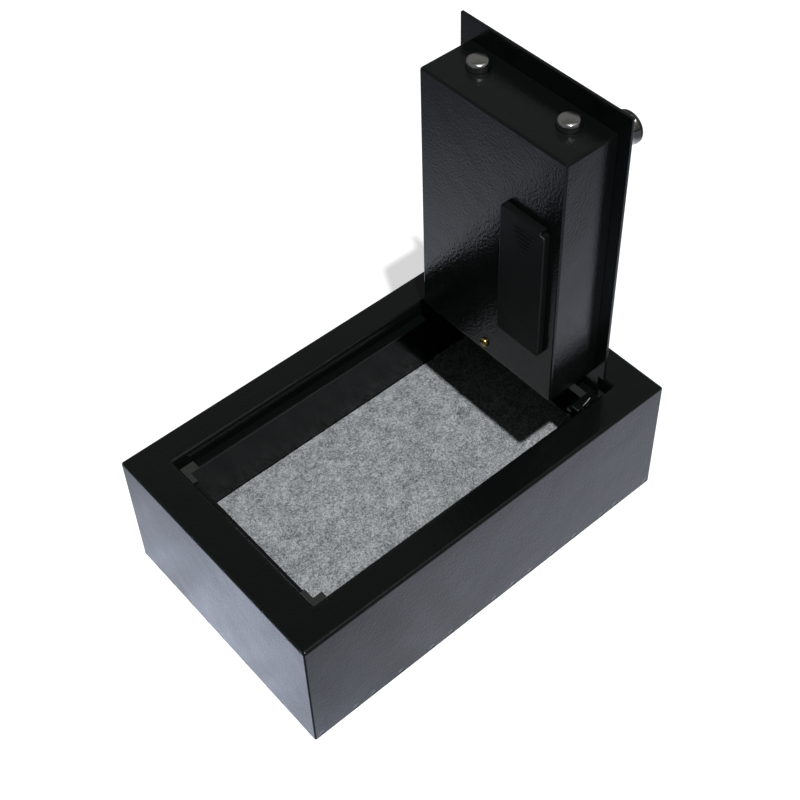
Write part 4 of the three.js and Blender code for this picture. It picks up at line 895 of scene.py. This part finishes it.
# Each figure is laid out flat, centred, turned to face outwards and set into the dish of its key
FACE_OUT = Matrix(((0, 0, 1, 0), (1, 0, 0, 0), (0, 1, 0, 0), (0, 0, 0, 1)))
KEY_DISH = ((1.2, 0.05), (1.7, 0.28), (1.9, 0.32))
FIGURE_SIZE = 8
FIGURE_THICK = 0.04
FIGURE_SUNK = 0.3
for name, (y, z) in places.items():
    cap = rounded((y - KEY_SIZE[0] / 2, y + KEY_SIZE[0] / 2), (z - KEY_SIZE[1] / 2, z + KEY_SIZE[1] / 2),
                  KEY_CORNER, 6)
    layers = eased(cap, *KEY_X, KEY_EDGE)
    layers += [(inset(cap, depth), KEY_X[1] - drop) for depth, drop in KEY_DISH]
    make_piece("keycap_" + name, loft(layers, axis="x"), abs_grey, "button_" + name, "grey_plastic",
               "key_" + name)
    words = bpy.data.curves.new("words", "FONT")
    words.body = PRINTS.get(name, name)
    words.size = FIGURE_SIZE * MM
    words.align_x = "CENTER"
    words.align_y = "CENTER"
    words.extrude = FIGURE_THICK * MM
    letters = bpy.data.objects.new("words", words)
    scene.collection.objects.link(letters)
    bpy.context.view_layer.update()
    graph = bpy.context.evaluated_depsgraph_get()
    flat = bpy.data.meshes.new_from_object(letters.evaluated_get(graph))
    low = [min(vertex.co[axis] for vertex in flat.vertices) for axis in (0, 1)]
    high = [max(vertex.co[axis] for vertex in flat.vertices) for axis in (0, 1)]
    flat.transform(Matrix.Translation([-(low[0] + high[0]) / 2, -(low[1] + high[1]) / 2, 0]))
    flat.transform(Matrix.Translation(Vector((KEY_X[1] - FIGURE_SUNK, y, z)) * MM) @ FACE_OUT)
    figure = bmesh.new()
    figure.from_mesh(flat)
    bpy.data.objects.remove(letters)
    bpy.data.curves.remove(words)
    bpy.data.meshes.remove(flat)
    make_piece("print_" + name, figure, ink, "button_" + name, "grey_plastic")

# Acrylic: dyed deep red, so it is black until the display behind it lights, and polished
acrylic, tree, shader = start_material("red_black_acrylic", IOR=1.49)
spot = node(tree, "TexCoord").outputs["Object"]
wipe = node(tree, "TexNoise", {"Vector": spot, "Scale": per(12), "Detail": 5.0, "Distortion": 2.0})
dye = node(tree, "Mix", {0: wipe.outputs["Fac"], 6: linear("#1C0506"), 7: linear("#2A090A")},
           data_type="RGBA")
tree.links.new(dye.outputs[2], shader.inputs["Base Color"])
shine = node(tree, "MapRange", {0: wipe.outputs["Fac"], 1: 0.4, 2: 0.7, 3: 0.05, 4: 0.12})
tree.links.new(shine.outputs[0], shader.inputs["Roughness"])
pane = loft(eased(rounded(WINDOW_Y, WINDOW_Z, WINDOW_CORNER), *WINDOW_X, WINDOW_EDGE), axis="x")
make_piece("window_pane", pane, acrylic, "door", "dark_window", "display_window")


# Emergency key lock
# A chromed barrel with a brass plug, under a black ABS cover that swings on a rivet. The plug's cam
# hangs behind the plate.
LOCK_YZ = (0, 142)
BARREL_PROFILE = ((6.0, 102.3), (6.0, 120.3), (9.0, 120.3), (9.0, 121.7), (8.6, 122.2), (8.2, 122.3),
                  (5.0, 122.3), (4.0, 121.6))
PLUG_HOLE_RADIUS = 4.0
PLUG_HOLE_CUT = (100, 125)
barrel_skin = loft([(circle(*LOCK_YZ, radius), place) for radius, place in BARREL_PROFILE], axis="x")
barrel = make_piece("barrel_turned", barrel_skin, chrome, "door", "chrome", "key_barrel")
cut_through(barrel, loft([(circle(*LOCK_YZ, PLUG_HOLE_RADIUS), place) for place in PLUG_HOLE_CUT], axis="x"))

# Turned brass: a warm metal, bright where it was cut and duller where it has begun to tarnish
brass, tree, shader = start_material("turned_brass", Metallic=1.0)
spot = node(tree, "TexCoord").outputs["Object"]
tarnish = node(tree, "TexNoise", {"Vector": spot, "Scale": per(3), "Detail": 4.0})
metal = node(tree, "Mix", {0: tarnish.outputs["Fac"], 6: linear("#A8874A"), 7: linear("#D0B26C")},
             data_type="RGBA")
tree.links.new(metal.outputs[2], shader.inputs["Base Color"])
polish = node(tree, "MapRange", {0: tarnish.outputs["Fac"], 3: 0.2, 4: 0.4})
tree.links.new(polish.outputs[0], shader.inputs["Roughness"])
dress("key_plug", brass, edge=0.15)

# The cover is a disc over the barrel with an eye round its rivet, drawn as one outline
FLAP_X = (122.6, 124.6)
FLAP_RADIUS = 12
FLAP_EDGE = 0.7
FLAP_RIM = 1.5
DISC_TURNS = [math.radians(107 + 326 * step / 60) for step in range(61)]
EYE_TURNS = [math.radians(180 * step / 16) for step in range(17)]
EYE_RADIUS = 3.5
PIVOT_YZ = (0, 156)
PIVOT_HOLE_RADIUS = 1.8
PIVOT_HOLE_CUT = (120, 127)
RIVET_PROFILE = ((1.5, 120.3), (1.5, 124.9), (3.0, 124.9), (3.0, 125.3), (2.6, 125.7), (1.8, 125.88),
                 (0.6, 125.9))
outline = [(FLAP_RADIUS * math.cos(turn), LOCK_YZ[1] + FLAP_RADIUS * math.sin(turn)) for turn in DISC_TURNS]
outline += [(EYE_RADIUS * math.cos(turn), PIVOT_YZ[1] + EYE_RADIUS * math.sin(turn)) for turn in EYE_TURNS]
cap = eased(outline, *FLAP_X, FLAP_EDGE) + [(inset(outline, FLAP_RIM), FLAP_X[1])]
flap = make_piece("flap_moulded", loft(cap, axis="x"), abs_black, "key_flap", "black_plastic", "key_cover")
pivot_hole = loft([(circle(*PIVOT_YZ, PIVOT_HOLE_RADIUS, 24), place) for place in PIVOT_HOLE_CUT], axis="x")
cut_through(flap, pivot_hole)
rivet_skin = loft([(circle(*PIVOT_YZ, radius, 32), place) for radius, place in RIVET_PROFILE], axis="x")
make_piece("rivet_headed", rivet_skin, zinc, "door", "zinc_steel", "key_cover_stud")


# Lock works inside the housing
# Pressed and plated steel: the bolt carriage, its studs, the crank and its spindle, the housing's post,
# the contact plates and the solenoid's plunger.
for name in ("bolt_carriage", "carriage_stud_left", "carriage_stud_right", "crank", "knob_spindle",
             "housing_post", "contact_plate_upper", "contact_plate_lower", "solenoid_plunger"):
    dress(name, zinc, edge=0.15)
dress("battery_box", abs_black, edge=0.2)
dress("buzzer", abs_black, edge=0.3)
dress("solenoid_coil", abs_grey, edge=0.3)

# Glass epoxy board: green solder mask with the weave faintly under it
board, tree, shader = start_material("green_solder_mask", Roughness=0.35, IOR=1.5)
spot = node(tree, "TexCoord").outputs["Object"]
weave = node(tree, "TexBrick", {"Vector": spot, "Scale": per(4), "Color1": linear("#1B5A33"),
                                "Color2": linear("#206239"), "Mortar": linear("#174E2C")})
tree.links.new(weave.outputs["Color"], shader.inputs["Base Color"])
dress("circuit_board", board, edge=0.15)

# Alkaline cells in a shrunk plastic sleeve, satin and slightly wrinkled
sleeve, tree, shader = start_material("shrink_sleeve", IOR=1.5)
spot = node(tree, "TexCoord").outputs["Object"]
crease = node(tree, "TexNoise", {"Vector": spot, "Scale": per(7), "Detail": 3.0})
film = node(tree, "Mix", {0: crease.outputs["Fac"], 6: linear("#4E5F71"), 7: linear("#62748A")},
            data_type="RGBA")
tree.links.new(film.outputs[2], shader.inputs["Base Color"])
shine = node(tree, "MapRange", {0: crease.outputs["Fac"], 3: 0.25, 4: 0.45})
tree.links.new(shine.outputs[0], shader.inputs["Roughness"])
for number in range(1, 5):
    dress(f"battery_cell_{number}", sleeve, edge=0.3)
